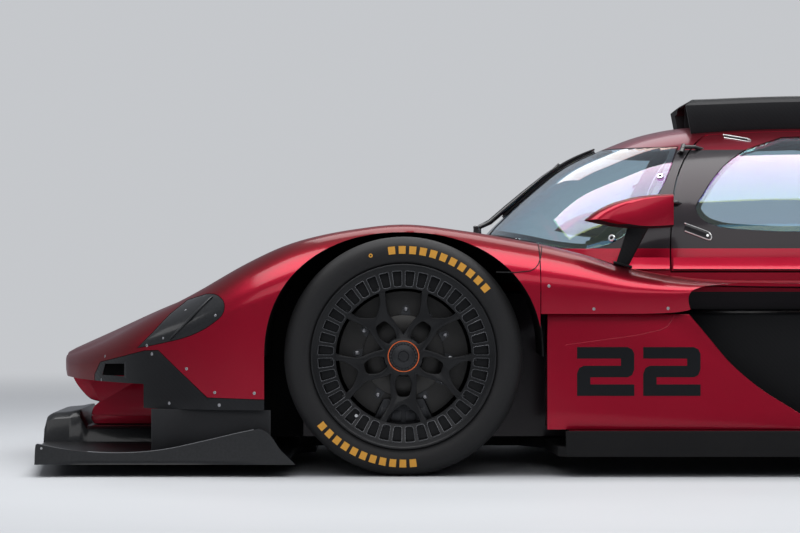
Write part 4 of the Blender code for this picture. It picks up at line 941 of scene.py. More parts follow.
finOutline = [
    (bulkheadX + 0.36, 0.92), (bulkheadX + 0.50, 1.010), (bulkheadX + 0.70, 1.035), (tailX - 0.420, 1.035),
    (tailX - 0.385, 0.980), (tailX - 0.375, 0.932), (tailX - 0.260, 0.900), (tailX - 0.175, 0.560),
    (rearX - 0.30, 0.560),
]

scoopRows = [
    # x, z of the top, a at the foot
    (frontX + 0.829, 1.061, 0.245),
    (frontX + 1.200, 1.072, 0.238),
    (bulkheadX, 1.070, 0.205),
    (rearX - 0.900, 1.062, 0.150),
    (rearX - 0.700, 1.052, 0.090),
    (rearX - 0.500, 1.042, 0.034),
    (rearX - 0.380, 1.038, 0.010),
]

frontArch = archOutline(frontX, car["frontRadius"], reach=0.377, rise=0.338)
rearArch = archOutline(rearX, car["rearRadius"], reach=0.405, rise=0.372)
lampCurve = smoothOutline(lampOutline, sharp=(0,), per=4)
screenCurve = smoothOutline(screenOutline, sharp=(0, 8, 9), per=4)
doorCurve = smoothOutline(doorOutline, sharp=(0, 7, 8, 11), per=3)
doorGlassCurve = smoothOutline(doorGlassOutline, per=4)
hollowCurve = smoothOutline(hollowOutline, sharp=(7, 8, 9, 0), per=4)
ductMouthCurve = smoothOutline(ductMouth, sharp=(0, 1, 2, 3), per=1)

body = {"bumps": 16, "rounds": 14, "centre": 8, "stationStep": 0.022, "canopySides": 72, "sideBulge": 0.004,
        "canopyEase": 0.03, "dip": 1.756}


def bodySection(rows, x):
    # half a section at x, as (a, z) from the centre plane over the fender to the hem
    mid, footA, footZ, crestA, crestZ, sideA, sideZ, hemZ = easedAt(rows, x)
    points = []
    for k in range(body["centre"]):
        t = k / body["centre"]
        points.append((footA * t, mid + (footZ - mid) * t ** body["dip"]))
    for k in range(body["bumps"] + 1):
        rise = 0.5 - 0.5 * math.cos(math.pi * k / body["bumps"])
        points.append((footA + (crestA - footA) * k / body["bumps"], footZ + (crestZ - footZ) * rise))
    for k in range(1, body["rounds"] + 1):
        turn = 0.5 * math.pi * k / body["rounds"]
        points.append((crestA + (sideA - crestA) * math.sin(turn), sideZ + (crestZ - sideZ) * math.cos(turn)))
    for k in range(1, 7):
        t = k / 6
        points.append((sideA - body["sideBulge"] * t * t, sideZ + (hemZ - sideZ) * t))
    return points


def skinAt(rows, x, z):
    # how far out the painted side is at a height
    crestA, crestZ, sideA, sideZ, hemZ = easedAt(rows, x)[3:]
    if z <= sideZ:
        t = (z - sideZ) / min(hemZ - sideZ, -1e-6)
        return sideA - body["sideBulge"] * t * t
    share = min((z - sideZ) / (crestZ - sideZ), 1.0)
    return crestA + (sideA - crestA) * math.sqrt(max(1 - share * share, 0.0))


def topAt(rows, x, a):
    # height of the painted top at a distance from the centre plane
    mid, footA, footZ, crestA, crestZ, sideA, sideZ = easedAt(rows, x)[:7]
    a = abs(a)
    if a < footA:
        return mid + (footZ - mid) * (a / footA) ** body["dip"]
    if a < crestA:
        return footZ + (crestZ - footZ) * (0.5 - 0.5 * math.cos(math.pi * (a - footA) / (crestA - footA)))
    share = min((a - crestA) / (sideA - crestA), 1.0)
    return sideZ + (crestZ - sideZ) * math.sqrt(1 - share * share)


def stationsOf(rows, lastShift=0.0, firstShift=0.0):
    first, last = rows[0][0] + firstShift, rows[-1][0] + lastShift
    return spread(first, last, max(2, round((last - first) / body["stationStep"])))


def bodySkin(name, rows, stations, side=0, wall=gaps["panelWall"]):
    rings = []
    for x in stations:
        half = bodySection(rows, x)
        if side:
            ring = [(x, side * a, z) for a, z in half[body["centre"]:]]
            rings.append(ring if side > 0 else ring[::-1])
        else:
            rings.append([(x, -a, z) for a, z in half[:0:-1]] + [(x, a, z) for a, z in half])
    return thickened(shape(name, sheet(rings)), wall)


def canopyForm(name, first, last, grow=0.0, foot=canopyFoot):
    # a closed loft of superelliptic arches, with finer steps where the nose of the canopy curves fast
    stations = spread(first, last, max(2, round((last - first) / body["stationStep"])))
    stations = [x for x in stations if x > cowlX + 0.14 or x <= first] + spread(cowlX, cowlX + 0.14, 24)[1:]
    stations = sorted({x for x in stations if first <= x <= last} | {first, last})
    sides = body["canopySides"]
    rings = []
    for x in stations:
        top, half = easedAt(canopyRows, x, body["canopyEase"])
        ring = []
        for k in range(sides + 1):
            c, s = math.cos(math.pi * k / sides), math.sin(math.pi * k / sides)
            y = -math.copysign(abs(c) ** (2 / canopyPower), c) * max(half + grow, 0.02)
            ring.append((x, y, foot + abs(s) ** (2 / canopyPower) * (max(top + grow, foot + 0.02) - foot)))
        rings.append(ring)
    return shape(name, sheet(rings, True, True))


def canopyAt(x, z):
    # half-width of the canopy's skin at a height
    top, half = easedAt(canopyRows, x, body["canopyEase"])
    s = max(min((z - canopyFoot) / (top - canopyFoot), 1.0), 0.0) ** (canopyPower / 2)
    return half * math.sqrt(max(1 - s * s, 0.0)) ** (2 / canopyPower)


def canopyTopAt(x, a):
    top, half = easedAt(canopyRows, x, body["canopyEase"])
    c = min(abs(a) / half, 1.0) ** (canopyPower / 2)
    return canopyFoot + (top - canopyFoot) * math.sqrt(max(1 - c * c, 0.0)) ** (2 / canopyPower)


print("outlines ready")


def buildFrontClip():
    stations = stationsOf(frontBody, lastShift=-gaps["seat"])
    stations = sorted(set(stations + [row[0] for row in frontBody[:4]]))
    skin = bodySkin("frontClip", frontBody, stations)
    copies = []
    for side in both:
        copies.append(bpy.data.objects.new(f"corner.{side}", skin.data.copy()))
        bpy.context.scene.collection.objects.link(copies[-1])
    underNose = block("underNose", (noseX - 0.1, -2, 0.0), (frontX - 0.715, 2, 0.246))
    arches = pairOfPrisms("frontArchCut", frontArch, cuts["arch"])
    for tool in (underNose, *arches):
        tool["shared"] = True
    seam = gaps["seat"] + gaps["coverSeam"]
    lamps = pairOfPrisms("lampCut", widened(lampCurve, seam), cuts["lamp"] - seam)
    corners = pairOfPrisms("cornerCut", widened(ductOutline, seam), cuts["corner"])
    cowl = canopyForm("cowlCut", cowlX, seamX + 0.2, gaps["seat"] * 4)
    carve(skin, "CUT", underNose, cowl, *arches, *lamps, *corners)
    dress(skin, "frontClipSkin", "candyRed", stands="front_clip")
    for side, copy, arch in zip(both, copies, arches):
        carve(copy, "KEEP", sidePrism("keep", ductOutline, side, cuts["corner"]))
        carve(copy, "CUT", underNose, arch)
        carve(copy, "CUT", sidePrism("mouth", ductMouthCurve, side, 0.3))
        dress(copy, "cornerDuct.", "satinCarbon", side, stands="corner_duct_")
    for tool in (underNose, *arches):
        bpy.data.objects.remove(tool, do_unlink=True)


def buildDecks():
    for side in both:
        piece = bodySkin("deck", deckBody, stationsOf(deckBody, firstShift=0.002), side)
        carve(
            piece, "CUT", canopyForm("deckCut", cowlX, bulkheadX + 0.1, gaps["seat"] * 3),
            sidePrism("deckArch", frontArch, side, cuts["arch"]),
            sidePrism("hollowCut", hollowCurve, side, cuts["hollow"]),
        )
        dress(piece, "shoulderDeck.", "candyRed", side, stands="shoulder_deck_")


def recess(name, outline, inner, outer, first, last):
    # the space that a pane sits in
    tool = prism(name, outline, inner, outer)
    return carve(tool, "CUT", canopyForm("deep", first, last, -(gaps["glassWall"] + gaps["seat"]), canopyFoot - 0.01))


def pane(name, outline, inner, outer, first, last):
    glass = canopyForm(name, first, last)
    carve(glass, "CUT", canopyForm("under", first - 0.01, last + 0.01, -gaps["glassWall"], canopyFoot - 0.01))
    return carve(glass, "KEEP", prism("keep", outline, inner, outer))


hinges = {"low": (frontX + 0.740, 0.537, 0.745), "high": (frontX + 0.807, 0.386, 0.9085), "barrel": 0.007, "arm": 0.036}


def hingePoint(side, t):
    low, high = Vector(hinges["low"]), Vector(hinges["high"])
    p = low + (high - low) * t
    return Vector((p.x, side * p.y, p.z))


def hingeAxis(side):
    return (hingePoint(side, 1) - hingePoint(side, 0)).normalized()


def hingeArm(side, t):
    # a hinge's place and axis, the middle of the door's barrel, and where its arm bends
    at, axis = hingePoint(side, t), hingeAxis(side)
    middle = at + axis * 0.0085
    return at, axis, middle, middle + Vector((hinges["arm"], 0.0, 0.0))


def buildTub():
    shell = canopyForm("tub", cowlX, bulkheadX)
    rows = [
        (x, easedAt(canopyRows, x, body["canopyEase"])[1] - 0.001)
        for x in spread(frontX + 0.410, bulkheadX - 0.001, 24)
    ]
    ledge = prism("ledge", [(x, -a) for x, a in rows] + [(x, a) for x, a in rows[::-1]], 0.450, 0.486, "XY")
    lower = block("lower", (frontX - 0.285, -0.500, 0.0853), (bulkheadX, 0.500, 0.490))
    carve(shell, "ADD", ledge, lower)
    carve(
        shell, "CUT",
        canopyForm("inside", cowlX + 0.045, bulkheadX - 0.020, -0.018, 0.462),
        block("lowerInside", (frontX - 0.265, -0.482, 0.1033), (bulkheadX - 0.020, 0.482, 0.470)),
        recess("screenSeat", widened(screenCurve, gaps["shutLine"] / 2), -1.0, 1.0, cowlX - 0.01, bulkheadX),
        prism("screenHole", widened(screenCurve, -gaps["flange"]), -1.0, 1.0),
        *pairOfPrisms("doorHole", widened(doorCurve, gaps["shutLine"]), cuts["doorHole"]),
    )
    tools = [tube("beam", [(frontX + 0.560, -0.524, 0.585), (frontX + 0.560, 0.524, 0.585)], 0.0215, 20)]
    for side in both:
        for t in (0.0, 1.0):
            at, axis = hingePoint(side, t), hingeAxis(side)
            tools.append(tube("lug", [at - axis * 0.016, at - axis * 0.0003], hinges["barrel"], 20))
            middle = at - axis * 0.0085
            tools.append(tube("root", [middle, middle + Vector((-0.012, -side * 0.016, -0.012))], 0.006, 14))
    carve(shell, "ADD", *tools)
    return dress(shell, "safetyCell", "canopyPaint", stands="tub")


def buildDoors():
    for side in both:
        first, last = frontX + 0.70, bulkheadX
        shell = canopyForm("door", first, last)
        carve(shell, "CUT", canopyForm("inside", first - 0.01, last + 0.01, -gaps["doorWall"], canopyFoot - 0.02))
        carve(shell, "KEEP", sidePrism("keep", doorCurve, side, cuts["doorSkin"]))
        within = (side * cuts["glass"], side * beyond)
        seat = recess("glassSeat", widened(doorGlassCurve, gaps["shutLine"] / 2), *within, first - 0.02, last + 0.02)
        carve(shell, "CUT", seat, prism("hole", widened(doorGlassCurve, -gaps["flange"]), *within))
        tools = []
        for t in (0.0, 1.0):
            at, axis, middle, bend = hingeArm(side, t)
            tools += [
                tube("barrel", [at + axis * 0.0003, at + axis * 0.016], hinges["barrel"], 20),
                tube("arm", [middle, bend], 0.0053, 14),
                tube("foot", [bend - Vector((0.003, 0, 0)), bend + Vector((0.024, -side * 0.014, -0.008))], 0.0053, 14),
            ]
        carve(shell, "ADD", *tools)
        dress(shell, "door.", "canopyPaint", side, body="door_", stands="door_")
        glass = pane("doorGlass", doorGlassCurve, *within, frontX + 0.72, bulkheadX)
        dress(glass, "doorGlass.", "clearGlass", side, body="door_", stands="door_glass_")
    screen = pane("screen", screenCurve, -1.0, 1.0, cowlX, bulkheadX)
    dress(screen, "windscreenPane", "clearGlass", stands="windscreen")


buildFrontClip()
buildDecks()
print("front body done")
buildTub()
buildDoors()
print("cockpit done")


# wheels: o is the distance outboard of the middle of the tyre, h half the tyre's width
wheel = {
    "frontHalf": 0.150, "rearHalf": 0.165, "inset": 0.015,
    "ring": 0.184, "kingpinInset": 0.033, "segments": 176,
    "pockets": 40, "pocketInner": 0.191, "pocketOuter": 0.2315, "pocketHalf": 0.0125, "pocketDepth": 0.021,
    "spokes": 5, "spokeStart": 270,
}


def wheelPlace(front, side):
    end = "front" if front else "rear"
    radius, half = car[end + "Radius"], wheel[end + "Half"]
    return (frontX if front else rearX, side * (halfWidth - wheel["inset"] - half), radius), half, radius


def cornerName(front, side):
    return ("front_" if front else "rear_") + sideName(side)


def wheelTurned(name, rows, centre, segments):
    # rows hold a radius and the distance outboard, on the left side
    return turned(name, [(radius, -o) for radius, o in rows], centre, segments)


def tyreShape(h, r):
    # from the outer bead over the sidewall and tread to the inner bead, then back inside
    outer = [
        (0.2300, h - 0.0300), (0.2480, h - 0.0170), (0.2525, h - 0.0130), (0.2555, h - 0.0086), (0.2590, h - 0.0062),
        (0.2640, h - 0.0040), (0.2730, h - 0.0010), (0.2850, h - 0.0002), (r - 0.0320, h - 0.0010),
        (r - 0.0200, h - 0.0052), (r - 0.0110, h - 0.0130), (r - 0.0045, h - 0.0250), (r - 0.0010, h - 0.0380),
        (r - 0.0002, h - 0.0480), (r, h - 0.0800),
    ]
    inner = r - 0.0155
    profile = outer + [(a, -o) for a, o in outer[::-1]] + [(inner, 0.048 - h), (inner, h - 0.048)]
    last = len(profile) - 1
    return smoothOutline(profile, (0, 1, 2, len(outer) * 2 - 1, len(outer) * 2 - 2, last, last - 1), 3)


tyreMarks = {
    "bandIn": 0.0465, "bandOut": 0.0255, "proud": 0.0006, "sunk": 0.0022, "blocks": 11, "blockFrom": 0.14,
    "blockTo": 0.80,
    "arcs": ((99.0, 37.0), (218.0, 278.0)), "dotAngle": 108, "dotIn": 0.0375,
}


def buildTyre(front):
    centre, h, r = wheelPlace(front, -1)
    rubber = wheelTurned("tyre", tyreShape(h, r), centre, wheel["segments"])
    marks = []
    # two arcs of short plain blocks and one dot
    values, count = tyreMarks, tyreMarks["blocks"]
    bandIn, bandOut = r - values["bandIn"], r - values["bandOut"]
    for first, last in values["arcs"]:
        for k in range(count):
            a0, a1 = (first + (last - first) * (k + values[key]) / count for key in ("blockFrom", "blockTo"))
            marks.append(arcBlock(centre, bandIn, bandOut, a0, a1, -(h + values["proud"]), -(h - values["sunk"])))
    dot = [(0.0025, -(h + 0.0005)), (0.0055, -(h + 0.0005)), (0.0055, -(h - 0.002)), (0.0025, -(h - 0.002))]
    place = math.radians(values["dotAngle"])
    away = r - values["dotIn"]
    marks.append(
        turned("dot", dot, (centre[0] + away * math.cos(place), centre[1], centre[2] + away * math.sin(place)), 20)
    )
    return rubber, joined("marks", marks)


def arcBlock(centre, inner, outer, first, last, low, high):
    # a block between two radii and two angles in degrees, seen from the side
    turns = [math.radians(a) for a in spread(first, last, 5)]
    rim = [(centre[0] + outer * math.cos(a), centre[2] + outer * math.sin(a)) for a in turns]
    back = [(centre[0] + inner * math.cos(a), centre[2] + inner * math.sin(a)) for a in turns[::-1]]
    return prism("arcBlock", rim + back, centre[1] + low, centre[1] + high)


def pocketOutline(grow=0.0):
    # one recess of the wheel's ring, as (radial, sideways): rounder at its inner end
    inner, outer = wheel["pocketInner"] - grow, wheel["pocketOuter"] + grow
    halfOut, halfIn = wheel["pocketHalf"] + grow, wheel["pocketHalf"] - 0.0020 + grow
    points = []
    for centreU, centreV, corner, start in (
        (outer, halfOut, 0.0035, 0), (inner, halfIn, 0.0065, 90), (inner, -halfIn, 0.0065, 180),
        (outer, -halfOut, 0.0035, 270),
    ):
        u = centreU - math.copysign(corner, centreU - 0.21)
        v = centreV - math.copysign(corner, centreV)
        for k in range(5):
            a = math.radians(start + 90 * k / 4)
            points.append((u + corner * math.cos(a), v + corner * math.sin(a)))
    return points


def aroundWheel(centre, points, degrees):
    c, s = math.cos(math.radians(degrees)), math.sin(math.radians(degrees))
    return [(centre[0] + u * c - v * s, centre[2] + u * s + v * c) for u, v in points]


def ringFace(h, radius):
    # how far out the face of the wheel lies at a radius
    if radius > 0.234:
        return h - 0.0095
    if radius > wheel["ring"]:
        return h - 0.0105 - (0.234 - radius) * 0.23
    t = max(min((radius - 0.050) / (wheel["ring"] - 0.050), 1.0), 0.0)
    return h - 0.036 + 0.012 * t * t


def buildRim(front):
    centre, h = wheelPlace(front, -1)[:2]
    flange = [
        (0.2440, h - 0.0058), (0.2462, h - 0.0036), (0.2490, h - 0.0030), (0.2508, h - 0.0042), (0.2510, h - 0.0125),
        (0.2300, h - 0.0135), (0.2290, h - 0.0200),
    ]
    profile = flange + [(a, -o) for a, o in flange[::-1]] + [
        (0.218, -h + 0.014), (0.218, h - 0.060), (0.1845, h - 0.046), (0.184, h - 0.044), (0.184, h - 0.0235),
        (0.1852, h - 0.0218), (0.2335, h - 0.0108), (0.2360, h - 0.0092),
    ]
    rim = wheelTurned("rim", profile, centre, wheel["segments"])
    pitch = 360 / wheel["pockets"]
    cutters, lips = [], []
    for k in range(wheel["pockets"]):
        turn = pitch * (k + 0.5)
        at = aroundWheel(centre, pocketOutline(), turn)
        cutters.append(prism("pocket", at, centre[1] - h, centre[1] - h + 0.012 + wheel["pocketDepth"]))
        edge = pocketOutline(0.0009)
        path = []
        for (x, z), (u, v) in zip(aroundWheel(centre, edge, turn), edge):
            path.append((x, centre[1] - ringFace(h, math.hypot(u, v)) + 0.0002, z))
        lips.append(tube("lip", path + path[:1], 0.0009, 6))
    carve(rim, "CUT", joined("pockets", cutters))
    spoke = [
        (0.030, -0.033), (0.060, -0.036), (0.095, -0.0355), (0.112, -0.034), (0.150, -0.0500), (0.1760, -0.0665),
        (0.1860, -0.0660), (0.1930, -0.0500), (0.1850, -0.0470), (0.1640, -0.0400), (0.1400, -0.0160), (0.1310, 0.0),
    ]
    outline = spoke + [(u, -v) for u, v in spoke[-2::-1]]
    outline = smoothOutline(outline, (0, 5, 6, 7, 15, 16, 17, 22), 4)
    slot = [(0.052, 0.013), (0.060, 0.0185), (0.098, 0.0185), (0.107, 0.014), (0.110, 0.0)]
    slot = smoothOutline(slot + [(u, -v) for u, v in slot[-2::-1]], (), 4)
    arms = []
    for k in range(wheel["spokes"]):
        turn = wheel["spokeStart"] + 72 * k
        arm = prism("arm", aroundWheel(centre, outline, turn), centre[1] - (h - 0.030), centre[1] - (h - 0.062))
        carve(arm, "CUT", prism("slot", aroundWheel(centre, slot, turn), centre[1] - h, centre[1] - h + 0.08))
        arms.append(arm)
    for arm in arms:
        # the front face dips from the ring towards the hub
        for vertex in arm.data.vertices:
            if vertex.co.y < centre[1] - (h - 0.040):
                away = math.hypot(vertex.co.x - centre[0], vertex.co.z - centre[2])
                vertex.co.y = centre[1] - ringFace(h, away) + 0.0004
        rounded(arm, 0.0022, 2, 50)
    hub = [
        (0.0185, h - 0.090), (0.0555, h - 0.090), (0.0555, h - 0.046), (0.0520, h - 0.0385), (0.0480, h - 0.0362),
        (0.0185, h - 0.0362),
    ]
    hubShape = wheelTurned("hub", hub, centre, 96)
    carve(rim, "ADD", *arms, hubShape)
    nut = [
        (0.0, h - 0.046), (0.0385, h - 0.046), (0.0385, h - 0.0345), (0.0365, h - 0.0325), (0.0330, h - 0.0325),
        (0.0315, h - 0.0290), (0.0240, h - 0.0270), (0.0225, h - 0.0262), (0.0150, h - 0.0262), (0.0135, h - 0.0300),
        (0.0, h - 0.0300),
    ]
    nutShape = wheelTurned("nut", nut, centre, 72)
    teeth = []
    for k in range(24):
        tooth = [(0.0322, -0.0014), (0.0378, -0.0017), (0.0378, 0.0017), (0.0322, 0.0014)]
        teeth.append(
            prism("tooth", aroundWheel(centre, tooth, 15 * k), centre[1] - (h - 0.0305), centre[1] - (h - 0.034))
        )
    ring = [(0.0402, h - 0.0350), (0.0428, h - 0.0350), (0.0428, h - 0.0375), (0.0402, h - 0.0375)]
    ringShape = wheelTurned("ring", ring, centre, 96)
    valve = tube("valve", [(centre[0] - 0.128, centre[1] - (h - 0.024), centre[2] - 0.160),
                           (centre[0] - 0.128, centre[1] - (h - 0.006), centre[2] - 0.160)], 0.0042, 14)
    return rim, joined("lips", lips), joined("nut", [nutShape, *teeth]), ringShape, valve


disc = {"vents": 54, "bolts": 12, "firstBolt": 27, "boltCircle": 0.128}


def buildDisc(front):
    centre, h = wheelPlace(front, -1)[:2]
    rows = [
        (0.0560, h - 0.0872), (0.0700, h - 0.0865), (0.1100, h - 0.0870), (0.1118, h - 0.0880), (0.1120, h - 0.0955),
        (0.1765, h - 0.0962), (0.1778, h - 0.0975), (0.1778, h - 0.1245), (0.1765, h - 0.1258), (0.1045, h - 0.1258),
        (0.1040, h - 0.0965), (0.0560, h - 0.0950),
    ]
    face = wheelTurned("disc", rows, centre, 112)
    vents = []
    for k in range(disc["vents"]):
        slot = [(0.160, -0.0030), (0.182, -0.0040), (0.182, 0.0040), (0.160, 0.0030)]
        vents.append(
            prism(
                "vent", aroundWheel(centre, slot, 360 / disc["vents"] * k), centre[1] - (h - 0.105),
                centre[1] - (h - 0.117),
            )
        )
    carve(face, "CUT", joined("vents", vents))
    turns = [disc["firstBolt"] + 360 / disc["bolts"] * k for k in range(disc["bolts"])]
    bolts = []
    for turn in turns:
        x, z = aroundWheel(centre, [(disc["boltCircle"], 0)], turn)[0]
        head = [
            (0.0, h - 0.0975), (0.0078, h - 0.0975), (0.0078, h - 0.0935), (0.0055, h - 0.0915), (0.0035, h - 0.0910),
            (0.0030, h - 0.0925), (0.0, h - 0.0925),
        ]
        bolts.append(wheelTurned("bolt", head, (x, centre[1], z), 14))
    carrier = []
    for turn in turns:
        lobe = [(0.105, -0.0140), (0.120, -0.0115), (0.136, -0.0080), (0.139, 0.0), (0.136, 0.0080), (0.120, 0.0115),
                (0.105, 0.0140)]
        carrier.append(
            prism("lobe", aroundWheel(centre, lobe, turn), centre[1] - (h - 0.0930), centre[1] - (h - 0.0975))
        )
    return face, joined("bolts", bolts), joined("carrier", carrier)


caliper = {
    "from": 244, "to": 296, "inner": 0.122, "outer": 0.203, "bolts": (252, 262, 278, 288), "boltCircle": 0.190,
    "ribs": ((247, 256), (258, 268), (272, 282), (284, 293)),
}


def buildKnuckle(front):
    centre, h = wheelPlace(front, -1)[:2]
    x, y, z = centre

    def slab(outline, low, high):
        return prism("slab", [(x + u, z + v) for u, v in outline], y - low, y - high)

    upright = smoothOutline(
        [(-0.040, -0.112), (0.040, -0.112), (0.060, 0.0), (0.040, 0.112), (-0.040, 0.112), (-0.060, 0.0)],
        (0, 1, 3, 4), 5,
    )
    piece = rounded(slab(upright, h - 0.195, h - 0.142), 0.004, 3)
    tools = [tube("spindle", [(x, y - (h - 0.160), z), (x, y - (h - 0.0475), z)], 0.0172, 32)]
    tools.append(slab([(-0.040, -0.060), (0.040, -0.060), (0.055, -0.150), (-0.055, -0.150)], h - 0.160, h - 0.140))
    pinY = y + wheel["kingpinInset"]
    for k in both:
        tools.append(tube("post", [(x, pinY, z + k * 0.080), (x, pinY, z + k * 0.126)], 0.0168, 28))
    turns = [math.radians(a) for a in spread(caliper["from"], caliper["to"], 16)]
    outer, inner = caliper["outer"], caliper["inner"]
    pad = [(outer * math.cos(a), outer * math.sin(a)) for a in turns]
    pad += [(inner * math.cos(a), inner * math.sin(a)) for a in turns[::-1]]
    casting = rounded(slab(pad, h - 0.146, h - 0.070), 0.006, 3)
    slot = [(0.090, h - 0.1325), (0.090, h - 0.0800), (0.187, h - 0.0800), (0.187, h - 0.1325)]
    carve(casting, "CUT", wheelTurned("slot", slot, centre, 96),
          slab([(-0.3, -0.118), (0.3, -0.118), (0.3, 0.1), (-0.3, 0.1)], h - 0.100, h))
    carve(piece, "ADD", *tools)
    extras = []
    for a in caliper["bolts"]:
        bx, bz = aroundWheel(centre, [(caliper["boltCircle"], 0)], a)[0]
        extras.append(tube("calBolt", [(bx, y - (h - 0.0735), bz), (bx, y - (h - 0.0655), bz)], 0.0062, 6))
    for low, high in caliper["ribs"]:
        rib = arcBlock(centre, 0.150, 0.180, low, high, -(h - 0.0672), -(h - 0.0708))
        extras.append(rounded(rib, 0.0015, 2))
    return piece, joined("caliper", [casting, *extras])


def placeWheels():
    for front in (True, False):
        rim, lips, nut, ring, valve = buildRim(front)
        tyre, marks = buildTyre(front)
        face, bolts, carrier = buildDisc(front)
        upright, casting = buildKnuckle(front)
        for side in (1, -1):
            corner = cornerName(front, side)
            spin = "wheel_" + corner
            carrierBody = "steer_" + sideName(side) if front else "chassis"
            rows = (
                (rim, "rim", "wheelBlack", spin, "wheel_black", "rim_" + corner),
                (lips, "pocketLips", "wheelEdge", spin, "wheel_black", ""),
                (nut, "wheelNut", "darkAlloy", spin, "machined_alloy", ""),
                (ring, "nutRing", "ringOrange", spin, "wheel_black", ""),
                (valve, "valve", "brightSteel", spin, "machined_alloy", ""),
                (tyre, "tyre", "tyreRubber", spin, "tyre_rubber", "tyre_" + corner),
                (marks, "tyreMarks", "markYellow", spin, "tyre_rubber", ""),
                (face, "brakeDisc", "turnedDisc", spin, "brake_iron", "brake_disc_" + corner),
                (bolts, "discBolts", "machinedAlloy", spin, "machined_alloy", ""),
                (carrier, "discCarrier", "darkAlloy", spin, "machined_alloy", ""),
                (upright, "upright", "darkAlloy", carrierBody, "machined_alloy", "knuckle_" + corner),
                (casting, "caliper", "darkAlloy", carrierBody, "machined_alloy", ""),
            )
            for item, label, finish, bodyName, slotName, stands in rows:
                used = mirrored(item, label) if side > 0 else item
                dress(used, f"{label}.{corner}", finish, side, bodyName, stands, 32)


placeWheels()
print("wheels done")


def rowsAt(x):
    return frontBody if x < seamX else (deckBody if x < bulkheadX else rearBody)


def surfacePoint(widthAt, x, z, side, proud, stepZ):
    # a point of a side, and the direction that the surface faces there
    stepX = 0.004
    slopeX = (widthAt(x + stepX, z) - widthAt(x - stepX, z)) / (2 * stepX)
    slopeZ = (widthAt(x, z + stepZ) - widthAt(x, z - stepZ)) / (2 * stepZ)
    facing = Vector((-slopeX, 1.0, -slopeZ)).normalized()
    at = Vector((x, widthAt(x, z), z)) + facing * proud
    return Vector((at.x, side * at.y, at.z)), Vector((facing.x, side * facing.y, facing.z))


def onSkin(x, z, side, proud=0.0):
    # on the painted side
    rows = rowsAt(x)
    return surfacePoint(lambda x, z: skinAt(rows, x, z), x, z, side, proud, 0.002)


fastener = {"head": 0.0042, "rise": 0.0007, "sink": 0.0030, "slot": 0.0010}


def fastenerAt(at, facing, scale=1.0):
    # a quarter-turn fastener: a low domed head with a slot across it
    r, rise, sink = (fastener[k] * scale for k in ("head", "rise", "sink"))
    rows = [(0.0, -rise), (r * 0.55, -rise * 0.9), (r * 0.85, -rise * 0.5), (r, 0.0), (r, sink), (0.0, sink)]
    head = turned("head", rows, (0, 0, 0), 16)
    slot = block(
        "slot", (-fastener["slot"] * scale / 2, -1, -r * 0.7), (fastener["slot"] * scale / 2, -rise * 0.25, r * 0.7),
    )
    carve(head, "CUT", slot)
    head.data.transform(Matrix.Translation(at) @ (-facing).to_track_quat("Y", "Z").to_matrix().to_4x4())
    return head


screwPlaces = {
    # dx from the front axle, z
    "clip": [(-0.8394, 0.3166), (-0.7050, 0.352), (-0.5909, 0.2905), (-0.5123, 0.2270), (-0.4037, 0.2261)],
    "deck": [(0.3928, 0.5163), (0.5143, 0.4542), (0.7146, 0.4558)],
    "rear": [(2.30, 0.52), (2.30, 0.44), (3.45, 0.55), (3.45, 0.44), (3.45, 0.66)],
    "duct": [(-0.8519, 0.2500), (-0.690, 0.3290), (-0.6400, 0.1950), (-0.5000, 0.1930)],
}


def dressFasteners(label, side, places, scale=1.0):
    heads = [fastenerAt(*onSkin(frontX + dx, z, side), scale) for dx, z in places]
    dress(heads, f"fasteners.{label}.", "machinedAlloy", side)


def buildFasteners():
    for side in both:
        for label, places in screwPlaces.items():
            dressFasteners(label, side, places)


def surfaceLine(name, points, side, radius, count=8):
    # a thin line lying on the painted side, through (dx, z) places
    path = []
    for one, two in zip(points, points[1:]):
        for k in range(count):
            t = k / count
            path.append(onSkin(frontX + one[0] + (two[0] - one[0]) * t, one[1] + (two[1] - one[1]) * t, side)[0])
    path.append(onSkin(frontX + points[-1][0], points[-1][1], side)[0])
    return tube(name, path, radius, 8)


def buildSeams():
    hatch = [(0.3790, 0.6240), (0.3722, 0.5920), (0.3650, 0.5750), (0.3560, 0.5640), (0.3417, 0.5568), (0.3010, 0.5528),
             (0.2500, 0.5536)]
    for side in both:
        lines = [surfaceLine("line", hatch, side, 0.0014)]
        lines.append(
            tube(
                "line", [(seamX, side * a, topAt(frontBody, seamX, a) + 0.0002) for a in spread(0.62, 0.935, 30)],
                0.0012, 8,
            )
        )
        dress(lines, "hatchSeam.", "boundBlack", side)
    for side in both:
        # perforated strip along the foot of the cockpit
        path = [(frontX + dx, side * (0.612 + 0.05 * (dx - 0.60))) for dx in spread(0.615, 0.905, 34)]
        top = [Vector((x, y, topAt(deckBody, x, y) + 0.0014)) for x, y in path]
        strip = tube("strip", top, [0.004 + 0.0075 * math.sin(math.pi * k / 34) ** 0.6 for k in range(35)], 10, 0.25)
        holes = []
        for k in range(3, 32):
            for j in both:
                at = top[k] + Vector((0, j * 0.003, 0))
                holes.append(tube("hole", [at - Vector((0, 0, 0.004)), at + Vector((0, 0, 0.004))], 0.0012, 6))
        carve(strip, "CUT", joined("holes", holes))
        dress(strip, "ventStrip.", "satinCarbon", side)


numberPanel = {
    "inset": 0.050, "wall": 0.006, "edge": 0.0022, "digitRise": 0.0006, "bar": 0.0312, "upright": 0.0364,
    "corner": 0.0060,
}
digitBoxes = [((0.4714, 0.2174), (0.6271, 0.3500)), ((0.6512, 0.2174), (0.8070, 0.3500))]


